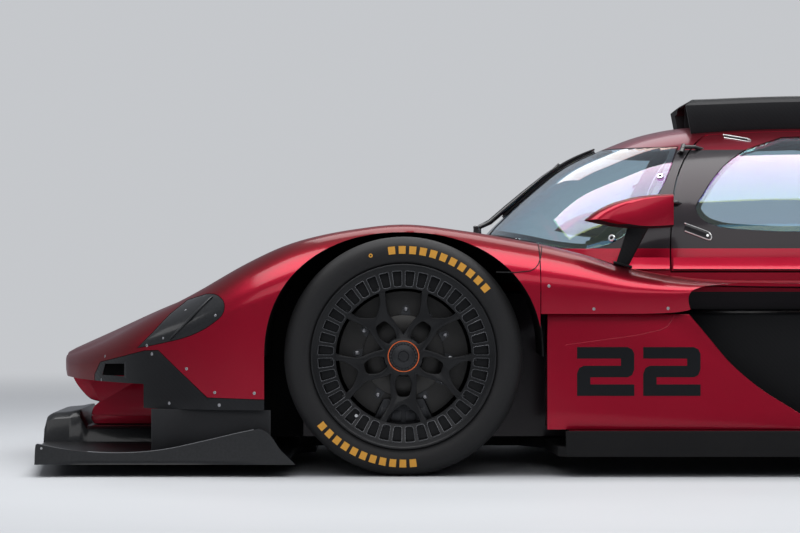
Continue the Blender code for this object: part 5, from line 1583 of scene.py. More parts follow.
def digitTwo(low, high):
    # a plain squared 2 with cut corners, as an outline in (x, z)
    x0, z0 = low
    x1, z1 = high
    b, u, c = numberPanel["bar"], numberPanel["upright"], numberPanel["corner"]
    mid = (z0 + z1) / 2
    points = [
        (x0, z0), (x1, z0), (x1, z0 + b), (x0 + u, z0 + b), (x0 + u, mid - b / 2), (x1 - 3 * c, mid - b / 2),
        (x1 - c, mid - b / 2 + c), (x1, mid + c), (x1, z1 - 3 * c), (x1 - c, z1 - c), (x1 - 3 * c, z1), (x0, z1),
        (x0, z1 - b), (x1 - u, z1 - b), (x1 - u, mid + b / 2), (x0 + 3 * c, mid + b / 2), (x0 + c, mid + b / 2 - c),
        (x0, mid - c),
    ]
    return [(frontX + x, z) for x, z in points]


def buildNumberPanels():
    values = numberPanel
    face = halfWidth - values["inset"]
    curve = smoothOutline(panelOutline, sharp=(0, 1, 2, 7), per=6)
    for side in both:
        panel = sidePrism("panel", curve, side, face - values["wall"], face)
        rounded(panel, values["edge"], 3, 50)
        foot = sideBlock(
            "foot", side, (frontX + 0.450, frontX + 1.100), (face - 0.140, face - 0.002), (0.1228, 0.1288),
        )
        brace = sideBlock(
            "brace", side, (frontX + 0.392, frontX + 0.398), (face - 0.155, face - 0.0025), (0.1275, 0.438),
        )
        carve(panel, "ADD", foot, brace)
        dress(panel, "numberPanel.", "candyRed", side, stands="number_panel_")
        digits = []
        middle = 2 * frontX + digitBoxes[0][0][0] + digitBoxes[1][1][0]
        for low, high in digitBoxes:
            outline = digitTwo(low, high)
            if side > 0:
                outline = [(middle - x, z) for x, z in outline]
            digits.append(prism("digit", outline, side * (face - 0.002), side * (face + values["digitRise"])))
        dress(digits, "raceNumber.", "numberGray", side)
        crease = [(0.440, 0.3560), (0.560, 0.3720), (0.660, 0.3880), (0.718, 0.4080), (0.735, 0.4360)]
        line = smoothOutline([(frontX + x, z) for x, z in crease], sharp=(0, 4), per=8)[:33]
        ridge = tube("crease", [(x, side * (face - 0.0006), z) for x, z in line], 0.0016, 8)
        dress(ridge, "panelCrease.", "candyRed", side)


def buildWellLiners():
    # black liners of the wheel wells: a strip round each arch, inside the painted skin
    wells = (
        ("front", frontArch, 0.503, 0.0030, lambda x: 0.894 if x > frontX + 0.372 else 9.0),
        ("rear", rearArch, 0.330, 0.0030, lambda x: 9.0),
    )
    for label, arch, inner, wall, limit in wells:
        outline = [p for p in arch if p[1] > 0.085]
        for side in both:
            rings = []
            for x, z in widened(outline, 0.0012):
                rows = rowsAt(min(max(x, noseX + 0.3), clipTailX - 0.01))
                outer = min(skinAt(rows, x, max(z, curveAt(rows, x)[7] + 0.001)) - 0.0085, limit(x))
                near = inner
                while topAt(rows, x, near) < z + 0.012 and near < outer - 0.02:
                    near += 0.004
                rings.append([(x, side * (near + (outer - near) * k / 4), z) for k in range(5)])
            if side < 0:
                rings = [ring[::-1] for ring in rings]
            piece = thickened(shape("liner", sheet(rings)), wall, 1.0)
            dress(piece, f"wellLiner.{label}.", "linerBlack", side)
    for side in both:
        # walls between the front wheels, ahead of and above the safety cell
        tops = [(x, topAt(rowsAt(x), x, 0.46) - 0.010) for x in spread(frontX - 0.56, frontX + 0.13, 20)]
        ahead = [p for p in tops if p[0] < frontX - 0.288]
        above = [p for p in tops if p[0] > frontX - 0.300]
        walls = [
            prism("wall", [(ahead[0][0], 0.0808), *ahead, (frontX - 0.2865, ahead[-1][1]), (frontX - 0.2865, 0.0808)],
                  side * 0.432, side * 0.436),
            prism("wall", [(above[0][0], 0.4915), *above, (above[-1][0], 0.4915)], side * 0.437, side * 0.441),
            prism("wall", shifted(noseX, [
                (0.26, 0.255), (0.26, 0.320), (0.46, 0.42), (0.66, 0.48), (0.66, 0.185),
            ]), side * 0.455, side * 0.459),
        ]
        dress(walls, "wellWall.", "linerBlack", side)
        duct = sideBlock("ductBox", side, (frontX - 0.888, frontX - 0.765), (0.30, 0.33), (0.252, 0.312))
        dress(rounded(duct, 0.004, 2), "ductBack.", "linerBlack", side)


def buildLampCovers():
    stations = spread(frontX - 0.76, frontX - 0.46, 40)
    for side in both:
        skin = bodySkin("lampSkin", frontBody, stations, side, gaps["glassWall"])
        carve(skin, "KEEP", sidePrism("keep", lampCurve, side, cuts["lamp"]))
        dress(skin, "lampCover.", "lampShell", side, stands="headlamp_")
        rib = [(-0.6380, 0.3690), (-0.6316, 0.3758), (-0.5800, 0.4280), (-0.5249, 0.4830), (-0.5190, 0.4870)]
        path = [onSkin(frontX + dx, z, side, 0.001)[0] for dx, z in rib]
        strake = tube("rib", path, [0.0012, 0.0052, 0.0075, 0.0052, 0.0012], 14, 0.6)
        dress(strake, "lampRib.", "lampShell", side)
        dressFasteners("lamp", side, ((-0.5973, 0.4500), (-0.6573, 0.3732), (-0.5105, 0.4360)), 0.8)


buildFasteners()
buildSeams()
buildNumberPanels()
buildWellLiners()
buildLampCovers()
print("front panels and details done")


# splitter, vanes and keel at the nose
splitterTop = 0.055 - gaps["seat"]
nosePlan = shifted(noseX, [
    (0.0, 0.0), (0.003, 0.200), (0.013, 0.400), (0.028, 0.600), (0.048, 0.800), (0.058, halfWidth - 0.060),
    (0.075, halfWidth - 0.014),
]) + shifted(frontX, [
    (-0.310, halfWidth - 0.014), (-0.310, 0.560), (-0.300, 0.480), (-0.250, 0.430), (-0.250, 0.0),
])
noseRamp = shifted(noseX, [
    # x, z of the raised middle
    (0.003, 0.0560), (0.0035, 0.100), (0.010, 0.126), (0.030, 0.1375), (0.070, 0.1408), (0.108, 0.147), (0.128, 0.100),
]) + shifted(frontX, [(-0.560, 0.099), (-0.380, 0.0595)])
fenceOutline = shifted(noseX, [
    (0.063, 0.0335), (0.065, 0.078), (0.068, 0.089), (0.078, 0.0885), (0.150, 0.0745), (0.280, 0.0645),
    (0.400, 0.0720), (0.520, 0.0965), (0.620, 0.1200), (0.668, 0.1298), (0.680, 0.1270),
]) + shifted(frontX, [(-0.330, 0.0700), (-0.292, 0.0335)])


splitterSpec = {
    "bottom": 0.0362, "edge": 0.0045, "rampHalf": 0.244, "rampFlat": 0.188, "fence": 0.020, "hollow": 0.0105,
    "vaneTop": 0.1797,
}


def buildSplitter():
    values = splitterSpec
    half = smoothOutline(
        nosePlan + [(x, -a) for x, a in nosePlan[-2:0:-1]], (6, 7, 8, 9, 10, 11, 12, 13, 14, 15, 16), 5,
    )
    plate = rounded(prism("plate", half, values["bottom"], splitterTop, "XY"), values["edge"], 3, 50)
    dress(plate, "splitterPlate", "satinCarbon", stands="splitter")
    wide = values["rampHalf"]
    rings = []
    for x in [row[0] for row in noseRamp[:3]] + spread(noseX + 0.014, frontX - 0.381, 64):
        z = curveAt(noseRamp, x)[0]
        ring = []
        for k in range(29):
            y = -wide + 2 * wide * k / 28
            drop = max((abs(y) - values["rampFlat"]) / 0.056, 0.0)
            ring.append((x, y, splitterTop - 0.001 + (z - splitterTop + 0.001) * math.sqrt(max(1 - drop**2.6, 0.0))))
        rings.append([(x, -wide, splitterTop - 0.003)] + ring + [(x, wide, splitterTop - 0.003)])
    dress(shape("ramp", sheet(rings, True, True)), "splitterRamp", "lampShell")
    for side in both:
        curve = smoothOutline(fenceOutline, (0, 1, 3, 9, 11, 12), 7)
        fence = sidePrism("fence", curve, side, halfWidth - values["fence"], halfWidth)
        bm = bmesh.new()
        bm.from_mesh(fence.data)
        cuts = [((x, 0, 0), (1, 0, 0)) for x in spread(noseX + 0.08, frontX - 0.30, 50)]
        for at, facing in cuts + [((0, 0, z), (0, 0, 1)) for z in spread(0.038, 0.124, 14)]:
            bmesh.ops.bisect_plane(bm, geom=bm.verts[:] + bm.edges[:] + bm.faces[:], plane_co=at, plane_no=facing)
        bm.to_mesh(fence.data)
        bm.free()
        for vertex in fence.data.vertices:
            if abs(vertex.co.y) < halfWidth - 0.001:
                continue
            # hollowed face: it turns out again to a foot along the ground and at the tail
            x, z = vertex.co.x, vertex.co.z
            along = min(max((x - (noseX + 0.10)) / 0.10, 0.0), 1.0) * min(max((frontX - 0.345 - x) / 0.26, 0.0), 1.0)
            high = min(max((z - 0.014) / 0.026, 0.0), 1.0)
            vertex.co.y = side * (
                halfWidth - values["hollow"] * (along * along * (3 - 2 * along)) * (high * high * (3 - 2 * high))
            )
        # a thin lighter metal rod along the fence's top edge: a painted highlight on that edge
        top = [(x, z) for x, z in curve if noseX + 0.20 < x < noseX + 0.655 and z > 0.06]
        edge = tube("edge", [(x, side * (halfWidth - 0.0125), z + 0.0002) for x, z in sorted(top)], 0.0018, 8)
        screw = fastenerAt(Vector((noseX + 0.082, side * (halfWidth - 0.0002), 0.078)), Vector((0, side, 0)), 0.8)
        dress(fence, "splitterFence.", "lampShell", side)
        dress(edge, "fenceEdge.", "wheelEdge", side)
        dress(screw, "fenceScrew.", "brightSteel", side)
        vane = shifted(frontX, [
            (-0.690, 0.842), (-0.684, 0.856), (-0.600, 0.872), (-0.480, 0.905), (-0.395, 0.918), (-0.360, 0.921),
            (-0.360, 0.915), (-0.395, 0.906), (-0.480, 0.885), (-0.600, 0.845), (-0.680, 0.832),
        ])
        vane = smoothOutline([(x, side * a) for x, a in vane], (5, 6), 5)
        piece = rounded(prism("vane", vane, splitterTop + 0.0002, values["vaneTop"], "XY"), 0.0012, 2, 60)
        dress(piece, "underVane.", "vaneGray", side)


keelSpec = {"half": 0.149, "corner": 0.012}


def buildKeel():
    chin = shifted(noseX, [
        (0.0685, 0.2830), (0.082, 0.236), (0.110, 0.196), (0.132, 0.176), (0.158, 0.168), (0.140, 0.150),
        (0.1355, 0.138), (0.1355, 0.112), (0.143, 0.1015), (0.330, 0.1015),
    ]) + shifted(frontX, [(-0.560, 0.1305), (-0.450, 0.1505), (-0.450, 0.398)])
    outline = smoothOutline(chin + shifted(noseX, [(0.250, 0.3515), (0.150, 0.3145)]), (0, 4, 8, 9, 11, 12), 6)
    keel = rounded(prism("keel", outline, -keelSpec["half"], keelSpec["half"]), keelSpec["corner"], 4, 50)
    ring = [block("split", (noseX + 0.10, -0.2, 0.1268), (frontX - 0.57, 0.2, 0.1292)),
            block("keep", (noseX + 0.139, -0.145, 0.10), (frontX, 0.145, 0.16))]
    carve(ring[0], "CUT", ring[1])
    carve(keel, "CUT", ring[0])
    dress(keel, "noseKeel", "keelRed", stands="nose_keel")


# mirrors, scoop, wiper and the small fittings of the cockpit
mirrorSide = shifted(frontX, [
    (0.4955, 0.6955), (0.530, 0.7215), (0.567, 0.7405), (0.620, 0.7560), (0.662, 0.7632), (0.7365, 0.7688),
    (0.7365, 0.6768), (0.700, 0.6745), (0.620, 0.6740), (0.560, 0.6815),
])
mirrorSpec = {"inner": 0.215, "outer": 0.075, "stalk": 0.150, "back": 0.7365, "midZ": 0.718}


def buildMirrors():
    for side in both:
        outline = smoothOutline(mirrorSide, (0, 5, 6), 5)
        near, far = halfWidth - mirrorSpec["inner"], halfWidth - mirrorSpec["outer"]
        back = frontX + mirrorSpec["back"]
        rings = []
        for k in range(25):
            t = k / 24
            a = near + (far - near) * t
            # the outline draws in towards both ends of the housing
            pull = 1 - 0.20 * abs(2 * t - 1) ** 4 - (0.06 if t in (0.0, 1.0) else 0.0)
            ring = []
            for x, z in outline:
                ease = pull if x < frontX + 0.7360 else 1 - (1 - pull) * 0.35
                high = mirrorSpec["midZ"] + (z - mirrorSpec["midZ"]) * (1 - (1 - pull) * 0.55)
                ring.append((back - (back - x) * ease, side * a, high))
            rings.append(ring if side > 0 else ring[::-1])
        housing = shape("housing", sheet(rings, True, True))
        pocket = sideBlock(
            "pocket", side, (frontX + 0.7285, frontX + 0.76), (near + 0.014, far - 0.014), (0.6885, 0.7570),
        )
        carve(housing, "CUT", pocket)
        rounded(housing, 0.002, 2, 50)
        dress(housing, "mirrorShell.", "candyRed", side, stands="mirror_")
        glass = sideBlock(
            "glass", side, (frontX + 0.7275, frontX + 0.7315), (near + 0.0145, far - 0.0145), (0.6890, 0.7565),
        )
        dress(rounded(glass, 0.001, 2), "mirrorGlass.", "lampSilver", side)
        middle = side * (halfWidth - mirrorSpec["stalk"])
        line = shifted(frontX, [(0.651, 0.690), (0.6355, 0.655), (0.6145, 0.605), (0.601, 0.5725)])
        stalk = tube("stalk", [(x, middle, z) for x, z in line], [0.0280, 0.0250, 0.0200, 0.0175], 24)
        for vertex in stalk.data.vertices:
            vertex.co.y = middle + (vertex.co.y - middle) * 0.34
        base = [(x, topAt(deckBody, x, halfWidth - 0.15)) for x in spread(frontX + 0.578, frontX + 0.628, 6)]
        foot = prism("foot", [(x, z + 0.0006) for x, z in base] + [(x, z + 0.008) for x, z in base[::-1]],
                     side * (halfWidth - 0.166), side * (halfWidth - 0.134))
        carve(stalk, "ADD", rounded(foot, 0.002, 2))
        dress(stalk, "mirrorStalk.", "satinCarbon", side)


scoopSpec = {"wall": 0.008, "chamfer": 0.030}


def scoopRing(x, top, half, foot, grow=0.0):
    # a flat-topped box section with chamfered shoulders
    c = min(scoopSpec["chamfer"], half * 0.5)
    h, t = half + grow, top + grow
    return [(x, -h, foot), (x, -h, t - c * 0.62), (x, -h + c * 0.5, t - c * 0.12), (x, -h + c, t), (x, h - c, t),
            (x, h - c * 0.5, t - c * 0.12), (x, h, t - c * 0.62), (x, h, foot)]


def scoopShape(name, stations, grow=0.0, foot=0.90):
    rings = []
    for x in stations:
        top, half = easedAt(scoopRows, x, 0.02)
        rings.append(scoopRing(x, top, half, foot, grow))
    return shape(name, sheet(rings, True, True))


def buildScoop():
    first = scoopRows[0][0]
    stations = spread(first, bulkheadX - gaps["seat"], 40)
    outer = scoopShape("scoop", stations)
    # the mouth leans back towards its foot
    for vertex in outer.data.vertices:
        share = max(1 - (vertex.co.x - first) / 0.16, 0.0)
        vertex.co.x += share * (max(vertex.co.z - 1.042, 0.0) * 1.2 + max(1.0 - vertex.co.z, 0.0) * 0.28)
    inner = scoopShape("hollow", [first - 0.05] + spread(first, bulkheadX + 0.05, 20), -scoopSpec["wall"], 0.86)
    carve(outer, "CUT", canopyForm("roof", cowlX, bulkheadX + 0.1, gaps["seat"] * 1.5), inner)
    rounded(outer, 0.0018, 2, 35)
    dress(outer, "roofScoop", "satinCarbon", stands="roof_scoop")
    vane = [block("vane", (first + 0.03, y - 0.002, 0.990), (first + 0.16, y + 0.002, 1.056)) for y in (-0.085, 0.085)]
    for item in vane:
        carve(item, "CUT", canopyForm("roof", cowlX, bulkheadX + 0.1, gaps["seat"]))
    dress(vane, "scoopVanes", "satinCarbon")


wiperSpec = {"postX": 0.224, "bladeFrom": 0.300, "bladeTo": 0.578, "spineLift": 0.0115, "rubberLift": 0.0040}


def buildWiper():
    values, postX = wiperSpec, frontX + wiperSpec["postX"]

    def over(x, y, lift):
        return (x, y, canopyTopAt(x, y) + lift)

    arm = tube("post", [(postX, 0, 0.648), (postX, 0, 0.688)], [0.0135, 0.0115], 24)
    cap = tube("cap", [(postX, 0, z) for z in (0.684, 0.690, 0.6925)], [0.0125, 0.0125, 0.008], 24)
    lifts = shifted(frontX, [(0.262, 0.026), (0.310, 0.021), (0.360, 0.0185), (0.420, 0.018), (0.470, 0.0165)])
    path = [(frontX + 0.222, 0, 0.684)] + [over(x, 0, lift) for x, lift in lifts]
    reach = tube("reach", path, [0.0110, 0.0135, 0.0140, 0.0120, 0.0080, 0.0050], 14, 0.62)
    link = tube("link", [over(frontX + 0.450, 0, 0.013), over(frontX + 0.472, 0, 0.0185)], 0.0052, 12)
    carve(arm, "ADD", cap, reach, link)
    dress(arm, "wiperArm", "glossBlack", stands="wiper")
    spots = spread(frontX + values["bladeFrom"], frontX + values["bladeTo"], 30)
    spine = tube(
        "spine", [over(x, 0, values["spineLift"]) for x in spots],
        [0.0030 + 0.0030 * math.sin(math.pi * k / 30) ** 0.5 for k in range(31)], 10, 0.9,
    )
    rubber = tube("rubber", [over(x, 0, values["rubberLift"]) for x in spots], 0.0034, 8)
    dress(spine, "wiperBlade", "satinCarbon")
    dress(rubber, "wiperRubber", "tyreRubber")


def onCanopy(x, z, side, proud=0.0):
    return surfacePoint(canopyAt, x, z, side, proud, 0.003)


def buildFittings():
    for side in both:
        grommets, studs = [], []
        for dx, z in ((0.7361, 0.8280), (0.5918, 0.6500)):
            at, facing = onCanopy(frontX + dx, z, side, 0.0006)
            turn = Matrix.Translation(at) @ (-facing).to_track_quat("Y", "Z").to_matrix().to_4x4()
            ring = turned(
                "ring", [(0.0052, -0.0016), (0.0088, -0.0016), (0.0100, -0.0004), (0.0100, 0.0016), (0.0052, 0.0016)],
                (0, 0, 0), 28,
            )
            stud = turned("stud", [(0.0, -0.0012), (0.0050, -0.0012), (0.0050, 0.0015), (0.0, 0.0015)], (0, 0, 0), 20)
            ring.data.transform(turn)
            stud.data.transform(turn)
            grommets.append(ring)
            studs.append(stud)
        dress(grommets, "screenGrommets.", "lampSilver", side)
        dress(studs, "screenStuds.", "boundBlack", side)
        # bright-edged arms of the two door hinges, let into the door
        plates, edges = [], []
        for start, end, half in (
            ((0.7965, 0.6803), (0.8600, 0.6560), 0.0112), ((0.9360, 0.9490), (1.0040, 0.9352), 0.0050),
        ):
            rise = (end[1] - start[1]) / (end[0] - start[0])
            rows = [(start[0] + (end[0] - start[0]) * t, start[1] + (end[1] - start[1]) * t) for t in spread(0, 1, 10)]
            path = [onCanopy(frontX + dx, z, side, 0.0004)[0] for dx, z in rows]
            plates.append(tube("plate", path, 0.0026, 16, half / 0.0026))
            loop = [(dx, z + half) for dx, z in rows]
            loop += [
                (end[0] + half * math.sin(a), end[1] + half * math.cos(a) + rise * half * math.sin(a))
                for a in spread(0.3, 2.84, 6)
            ]
            loop += [(dx, z - half) for dx, z in rows[::-1]]
            edges.append(tube("edge", [onCanopy(frontX + dx, z, side, 0.0010)[0] for dx, z in loop], 0.0017, 8))
            edges.append(
                tube(
                    "pin", [onCanopy(frontX + end[0], end[1], side, proud)[0] for proud in (-0.001, 0.0042)], 0.0036,
                    14,
                )
            )
        dress(plates, "hingeArms.", "glossBlack", side, body="door_")
        dress(edges, "hingeEdges.", "brightSteel", side, body="door_")


doorSeal = {"outer": 0.0022, "inner": 0.0080, "within": 0.012, "around": 0.010, "top": 0.70, "least": 0.262}
ridge = {
    "foot": 0.5605, "height": 0.034, "proud": 0.0160, "steps": 12, "cell": (0.560, 0.7525), "door": (0.7630, 1.6780),
}
sleeve = {"barrel": 0.0074, "arm": 0.0058, "near": 0.0006, "far": 0.0157}


def buildDoorEdges():
    first, last = frontX + 0.70, bulkheadX
    for side in both:
        # rubber seal behind the gap round each door
        seal = canopyForm("seal", first, last - 0.001, -gaps["doorWall"] - doorSeal["outer"])
        carve(
            seal, "CUT", canopyForm(
                "inside", first - 0.01, last + 0.01, -gaps["doorWall"] - doorSeal["inner"], canopyFoot - 0.02,
            ),
            sidePrism("open", widened(doorCurve, -doorSeal["within"]), side, 0.15, 1.2),
            block("above", (first - 0.1, -1, doorSeal["top"]), (last + 0.1, 1, 1.1)),
        )
        carve(seal, "KEEP", sidePrism("keep", widened(doorCurve, doorSeal["around"]), side, doorSeal["least"], 1.2))
        dress(seal, "doorSeal.", "boundBlack", side)
        # swelling along the foot of the cockpit side, split at the door's front edge
        for label, bodyName, stations in (("cell", "chassis", 14), ("door", "door_", 60)):
            rings = []
            for x in spread(*(frontX + dx for dx in ridge[label]), stations):
                grow = min((x - frontX - 0.555) / 0.10, 1.0)
                rows = [(0.5600, -0.003)]
                for share in spread(0, 1, ridge["steps"]):
                    rows.append((ridge["foot"] + ridge["height"] * share**1.4, ridge["proud"] * grow * (1 - share)))
                rows.append((0.5955, -0.003))
                rings.append([onCanopy(x, z, side, proud)[0] for z, proud in rows])
            dress(shape("ridge", sheet(rings, True, True)), f"sideRidge.{label}.", "candyRed", side, body=bodyName)
        # black sleeves on the hinge arms
        sleeves, roots = [], []
        for t in (0.0, 1.0):
            at, axis, middle, bend = hingeArm(side, t)
            near, far = axis * sleeve["near"], axis * sleeve["far"]
            sleeves += [
                tube("sleeve", [at + near, at + far], sleeve["barrel"], 20),
                tube("sleeve", [middle, bend], sleeve["arm"], 14),
                tube(
                    "sleeve", [bend - Vector((0.003, 0, 0)), bend + Vector((0.0235, -side * 0.0137, -0.0078))],
                    sleeve["arm"], 14,
                ),
            ]
            roots.append(tube("root", [at - far, at - near], sleeve["barrel"], 20))
        dress(sleeves, "hingeSleeves.", "glossBlack", side, body="door_")
        dress(roots, "hingeRoots.", "glossBlack", side)


buildSplitter()
buildKeel()
buildMirrors()
buildScoop()
buildWiper()
buildFittings()
buildDoorEdges()
print("nose, mirrors, scoop and fittings done")


# rear bodywork, wing, diffuser and tail lamps
tail = {"panelBack": 0.0020, "lampZ": (0.600, 0.690), "lampFrom": 0.560, "lampTo": 0.835}


def buildRearClip():
    skin = bodySkin("rearClip", rearBody, stationsOf(rearBody, firstShift=gaps["seat"] * 2))
    half = [(a * 0.9985, z - 0.0015) for a, z in bodySection(rearBody, clipTailX)[1:]]
    panel = prism("tailPanel", [(-a, z) for a, z in half[::-1]] + half, clipTailX - 0.010, clipTailX - 0.002, "YZ")
    cover = canopyForm("cover", bulkheadX + gaps["seat"] * 2, rearX + 0.5385, 0.0, 0.450)
    carve(skin, "ADD", panel, cover)
    carve(
        skin, "CUT",
        canopyForm("coverInside", bulkheadX - 0.05, rearX + 0.530, -gaps["panelWall"], 0.430),
        block("tailHole", (clipTailX - 0.1, -0.245, 0.20), (clipTailX + 0.1, 0.245, 0.435)),
        *pairOfPrisms("rearArchCut", rearArch, cuts["arch"]),
    )
    spine = scoopShape("spine", spread(scoopRows[3][0], scoopRows[-1][0], 18), foot=0.80)
    neck = scoopShape("neck", spread(bulkheadX + gaps["seat"] * 2, scoopRows[3][0] + 0.01, 6), foot=0.84)
    fin = prism("fin", smoothOutline(finOutline, (0, 2, 3, 4, 5, 6, 7, 8), 5), -0.006, 0.006)
    carve(skin, "ADD", neck, spine, fin)
    carve(skin, "CUT", scoopShape("neckInside", spread(bulkheadX - 0.05, rearX - 0.940, 8), -0.010, 0.80))
    dress(skin, "rearClipSkin", "candyRed", stands="rear_clip")


louvre = {"count": 7, "first": 0.10, "step": 0.040, "half": 0.062, "depth": 0.022, "rise": 0.007}


def buildLouvres():
    # slats over the rear wheels, and cooling slots beside the spine
    for side in both:
        slats = []
        for k in range(louvre["count"]):
            x = rearX - louvre["first"] + louvre["step"] * k
            rings = []
            for j in range(13):
                y = side * (0.775 + louvre["half"] * (j / 6 - 1))
                z0 = topAt(rearBody, x, abs(y)) - 0.0006
                z1 = topAt(rearBody, x + louvre["depth"], abs(y))
                crown = louvre["rise"] * (1 - abs(j / 6 - 1) ** 4)
                back = x + louvre["depth"]
                rings.append([
                    (x, y, z0), (x + louvre["depth"] * 0.6, y, z1 + crown), (back, y, z1 + crown),
                    (back, y, z1 + crown - 0.0015), (x + 0.004, y, z0 - 0.0016),
                ])
            slats.append(shape("slat", sheet(rings, True, True)))
        dress(slats, "wheelLouvres.", "satinCarbon", side)
        seams = []
        for x in (rearX - 0.62, rearX + 0.47):
            path = [
                (x, side * a, topAt(rearBody, x, a) + 0.0003)
                for a in spread(curveAt(canopyRows, x)[1] + 0.03, 0.93, 36)
            ]
            seams.append(tube("seam", path, 0.0013, 8))
        dress(seams, "rearSeams.", "boundBlack", side)


def buildTailLamps():
    low, high = tail["lampZ"]
    x = clipTailX - tail["panelBack"]
    for side in both:
        inner, outer = tail["lampFrom"], tail["lampTo"]
        edge = [(side * a, z) for a, z in (
            (inner, low + 0.012), (outer - 0.03, low), (outer, low + 0.020), (outer, high - 0.012),
            (outer - 0.05, high), (inner + 0.06, high - 0.018),
        )]
        frame = smoothOutline(edge, (), 4)
        base = rounded(prism("base", frame, x - 0.001, x + 0.006, "YZ"), 0.0015, 2)
        dress(base, "tailLampBase.", "glossBlack", side)
        bars = []
        for z in (low + 0.028, low + 0.050, low + 0.070):
            ends = [(x + 0.0075, side * (inner + 0.055), z - 0.004), (x + 0.0075, side * (outer - 0.025), z)]
            bars.append(tube("bar", ends, 0.0042, 12))
        dress(bars, "tailLampBars.", "tailRed", side)
    rain = rounded(block("rain", (x, -0.060, 0.455), (x + 0.014, 0.060, 0.485)), 0.004, 3)
    dress(rain, "rainLamp", "tailRed")
    mesh = []
    for k in range(17):
        y = -0.232 + 0.029 * k
        mesh.append(tube("rod", [(x - 0.004, y, 0.385), (x - 0.004, y, 0.436)], 0.0016, 6))
    mesh.append(tube("rod", [(x - 0.004, -0.246, 0.411), (x - 0.004, 0.246, 0.411)], 0.0016, 6))
    dress(mesh, "tailMesh", "satinCarbon")


wingMain = shifted(tailX, [
    (-0.350, 0.955), (-0.338, 0.9455), (-0.280, 0.9408), (-0.110, 0.9415), (-0.060, 0.958), (-0.0505, 0.9675),
    (-0.120, 0.9676), (-0.230, 0.9716), (-0.320, 0.9676),
])
wingFlap = shifted(tailX, [
    (-0.092, 0.985), (-0.080, 0.9785), (-0.040, 0.992), (-0.0045, 1.028), (-0.0080, 1.0315), (-0.050, 1.008),
    (-0.085, 0.995),
])
wingPlate = shifted(tailX, [
    (-0.360, 0.930), (-0.345, 0.975), (-0.250, 1.028), (-0.060, 1.0478), (-0.001, 1.0478), (-0.001, 0.820),
    (-0.090, 0.790), (-0.260, 0.850),
])


wing = {"inset": 0.050, "gap": 0.005, "plate": 0.012, "plateEdge": 0.0025}


def buildWing():
    span = halfWidth - wing["inset"]
    main = prism("main", smoothOutline(wingMain, (5,), 5), wing["gap"] - span, span - wing["gap"])
    flap = prism("flap", smoothOutline(wingFlap, (3, 4), 5), wing["gap"] - span, span - wing["gap"])
    plates = []
    for side in both:
        plate = prism("plate", smoothOutline(wingPlate, (0, 3, 4, 5, 6), 5), side * (span - wing["plate"]), side * span)
        plates.append(rounded(plate, wing["plateEdge"], 3, 50))
    carve(main, "ADD", flap, *plates)
    strip = prism("gurney", shifted(tailX, [
        (-0.0120, 1.0275), (-0.0120, 1.0440), (-0.0095, 1.0440), (-0.0095, 1.0275),
    ]),
                  0.012 - span, span - 0.012)
    carve(main, "ADD", strip)
    dress(main, "rearWing", "satinCarbon", stands="rear_wing")
    for side in both:
        heads = [fastenerAt(Vector((tailX - dx, side * (span - 0.0002), z)), Vector((0, side, 0)), 1.1)
                 for dx, z in ((0.30, 0.956), (0.20, 0.956), (0.10, 0.956), (0.055, 1.0), (0.03, 1.015))]
        dress(heads, "fasteners.wing.", "machinedAlloy", side)


diffuser = {"half": 0.519, "strakes": (0.1290, 0.2585, 0.3875, 0.5165), "strakeHalf": 0.0024, "lift": 0.022}


def buildDiffuser():
    tunnel = shifted(rearX, [
        (0.0508, 0.060), (0.150, 0.076), (0.250, 0.100), (0.350, 0.134), (0.450, 0.175), (0.600, 0.255),
        (0.6038, 0.262), (0.596, 0.267), (0.445, 0.187), (0.350, 0.147), (0.246, 0.112), (0.150, 0.089),
        (0.0508, 0.074),
    ])
    piece = prism("tunnel", smoothOutline(tunnel, (0, 5, 7, 12), 4), -diffuser["half"], diffuser["half"])
    strakes = []
    places = diffuser["strakes"]
    for y in [-y for y in places[::-1]] + list(places):
        # every second strake reaches down to the floor
        deep = 0.0 if abs(y) in places[1::2] else diffuser["lift"]
        outline = [(rearX + 0.100 + deep * 4, 0.0575 + deep)] + shifted(rearX, [
            (0.300, 0.0600 + deep), (0.560, 0.0680 + deep), (0.598, 0.0900 + deep), (0.598, 0.2555), (0.450, 0.1790),
            (0.350, 0.139), (0.250, 0.104), (0.150, 0.080),
        ])
        strakes.append(
            rounded(prism("strake", outline, y - diffuser["strakeHalf"], y + diffuser["strakeHalf"]), 0.0010, 2, 60)
        )
    carve(piece, "ADD", *strakes)
    dress(piece, "diffuserTunnel", "satinCarbon", stands="diffuser")


buildRearClip()
buildLouvres()
buildTailLamps()
buildWing()
buildDiffuser()
print("rear bodywork done")


# inside the cockpit, and the sidepods
driver = {"y": -0.205, "padDepth": 0.024, "padHalf": 0.160, "shellHalf": 0.190, "channel": 0.0050}
seatFront = [(frontX + 1.300, 0.200), (frontX + 1.420, 0.420), (frontX + 1.560, 0.795)]
seatPan = shifted(frontX, [(0.915, 0.210), (0.960, 0.221), (1.180, 0.171), (1.285, 0.196)])


def alongPath(path, t):
    lengths = [math.dist(a, b) for a, b in zip(path, path[1:])]
    left = t * sum(lengths)
    for (a, b), span in zip(zip(path, path[1:]), lengths):
        if left <= span or b is path[-1]:
            share = min(left / span, 1.0)
            return a[0] + (b[0] - a[0]) * share, a[1] + (b[1] - a[1]) * share
        left -= span


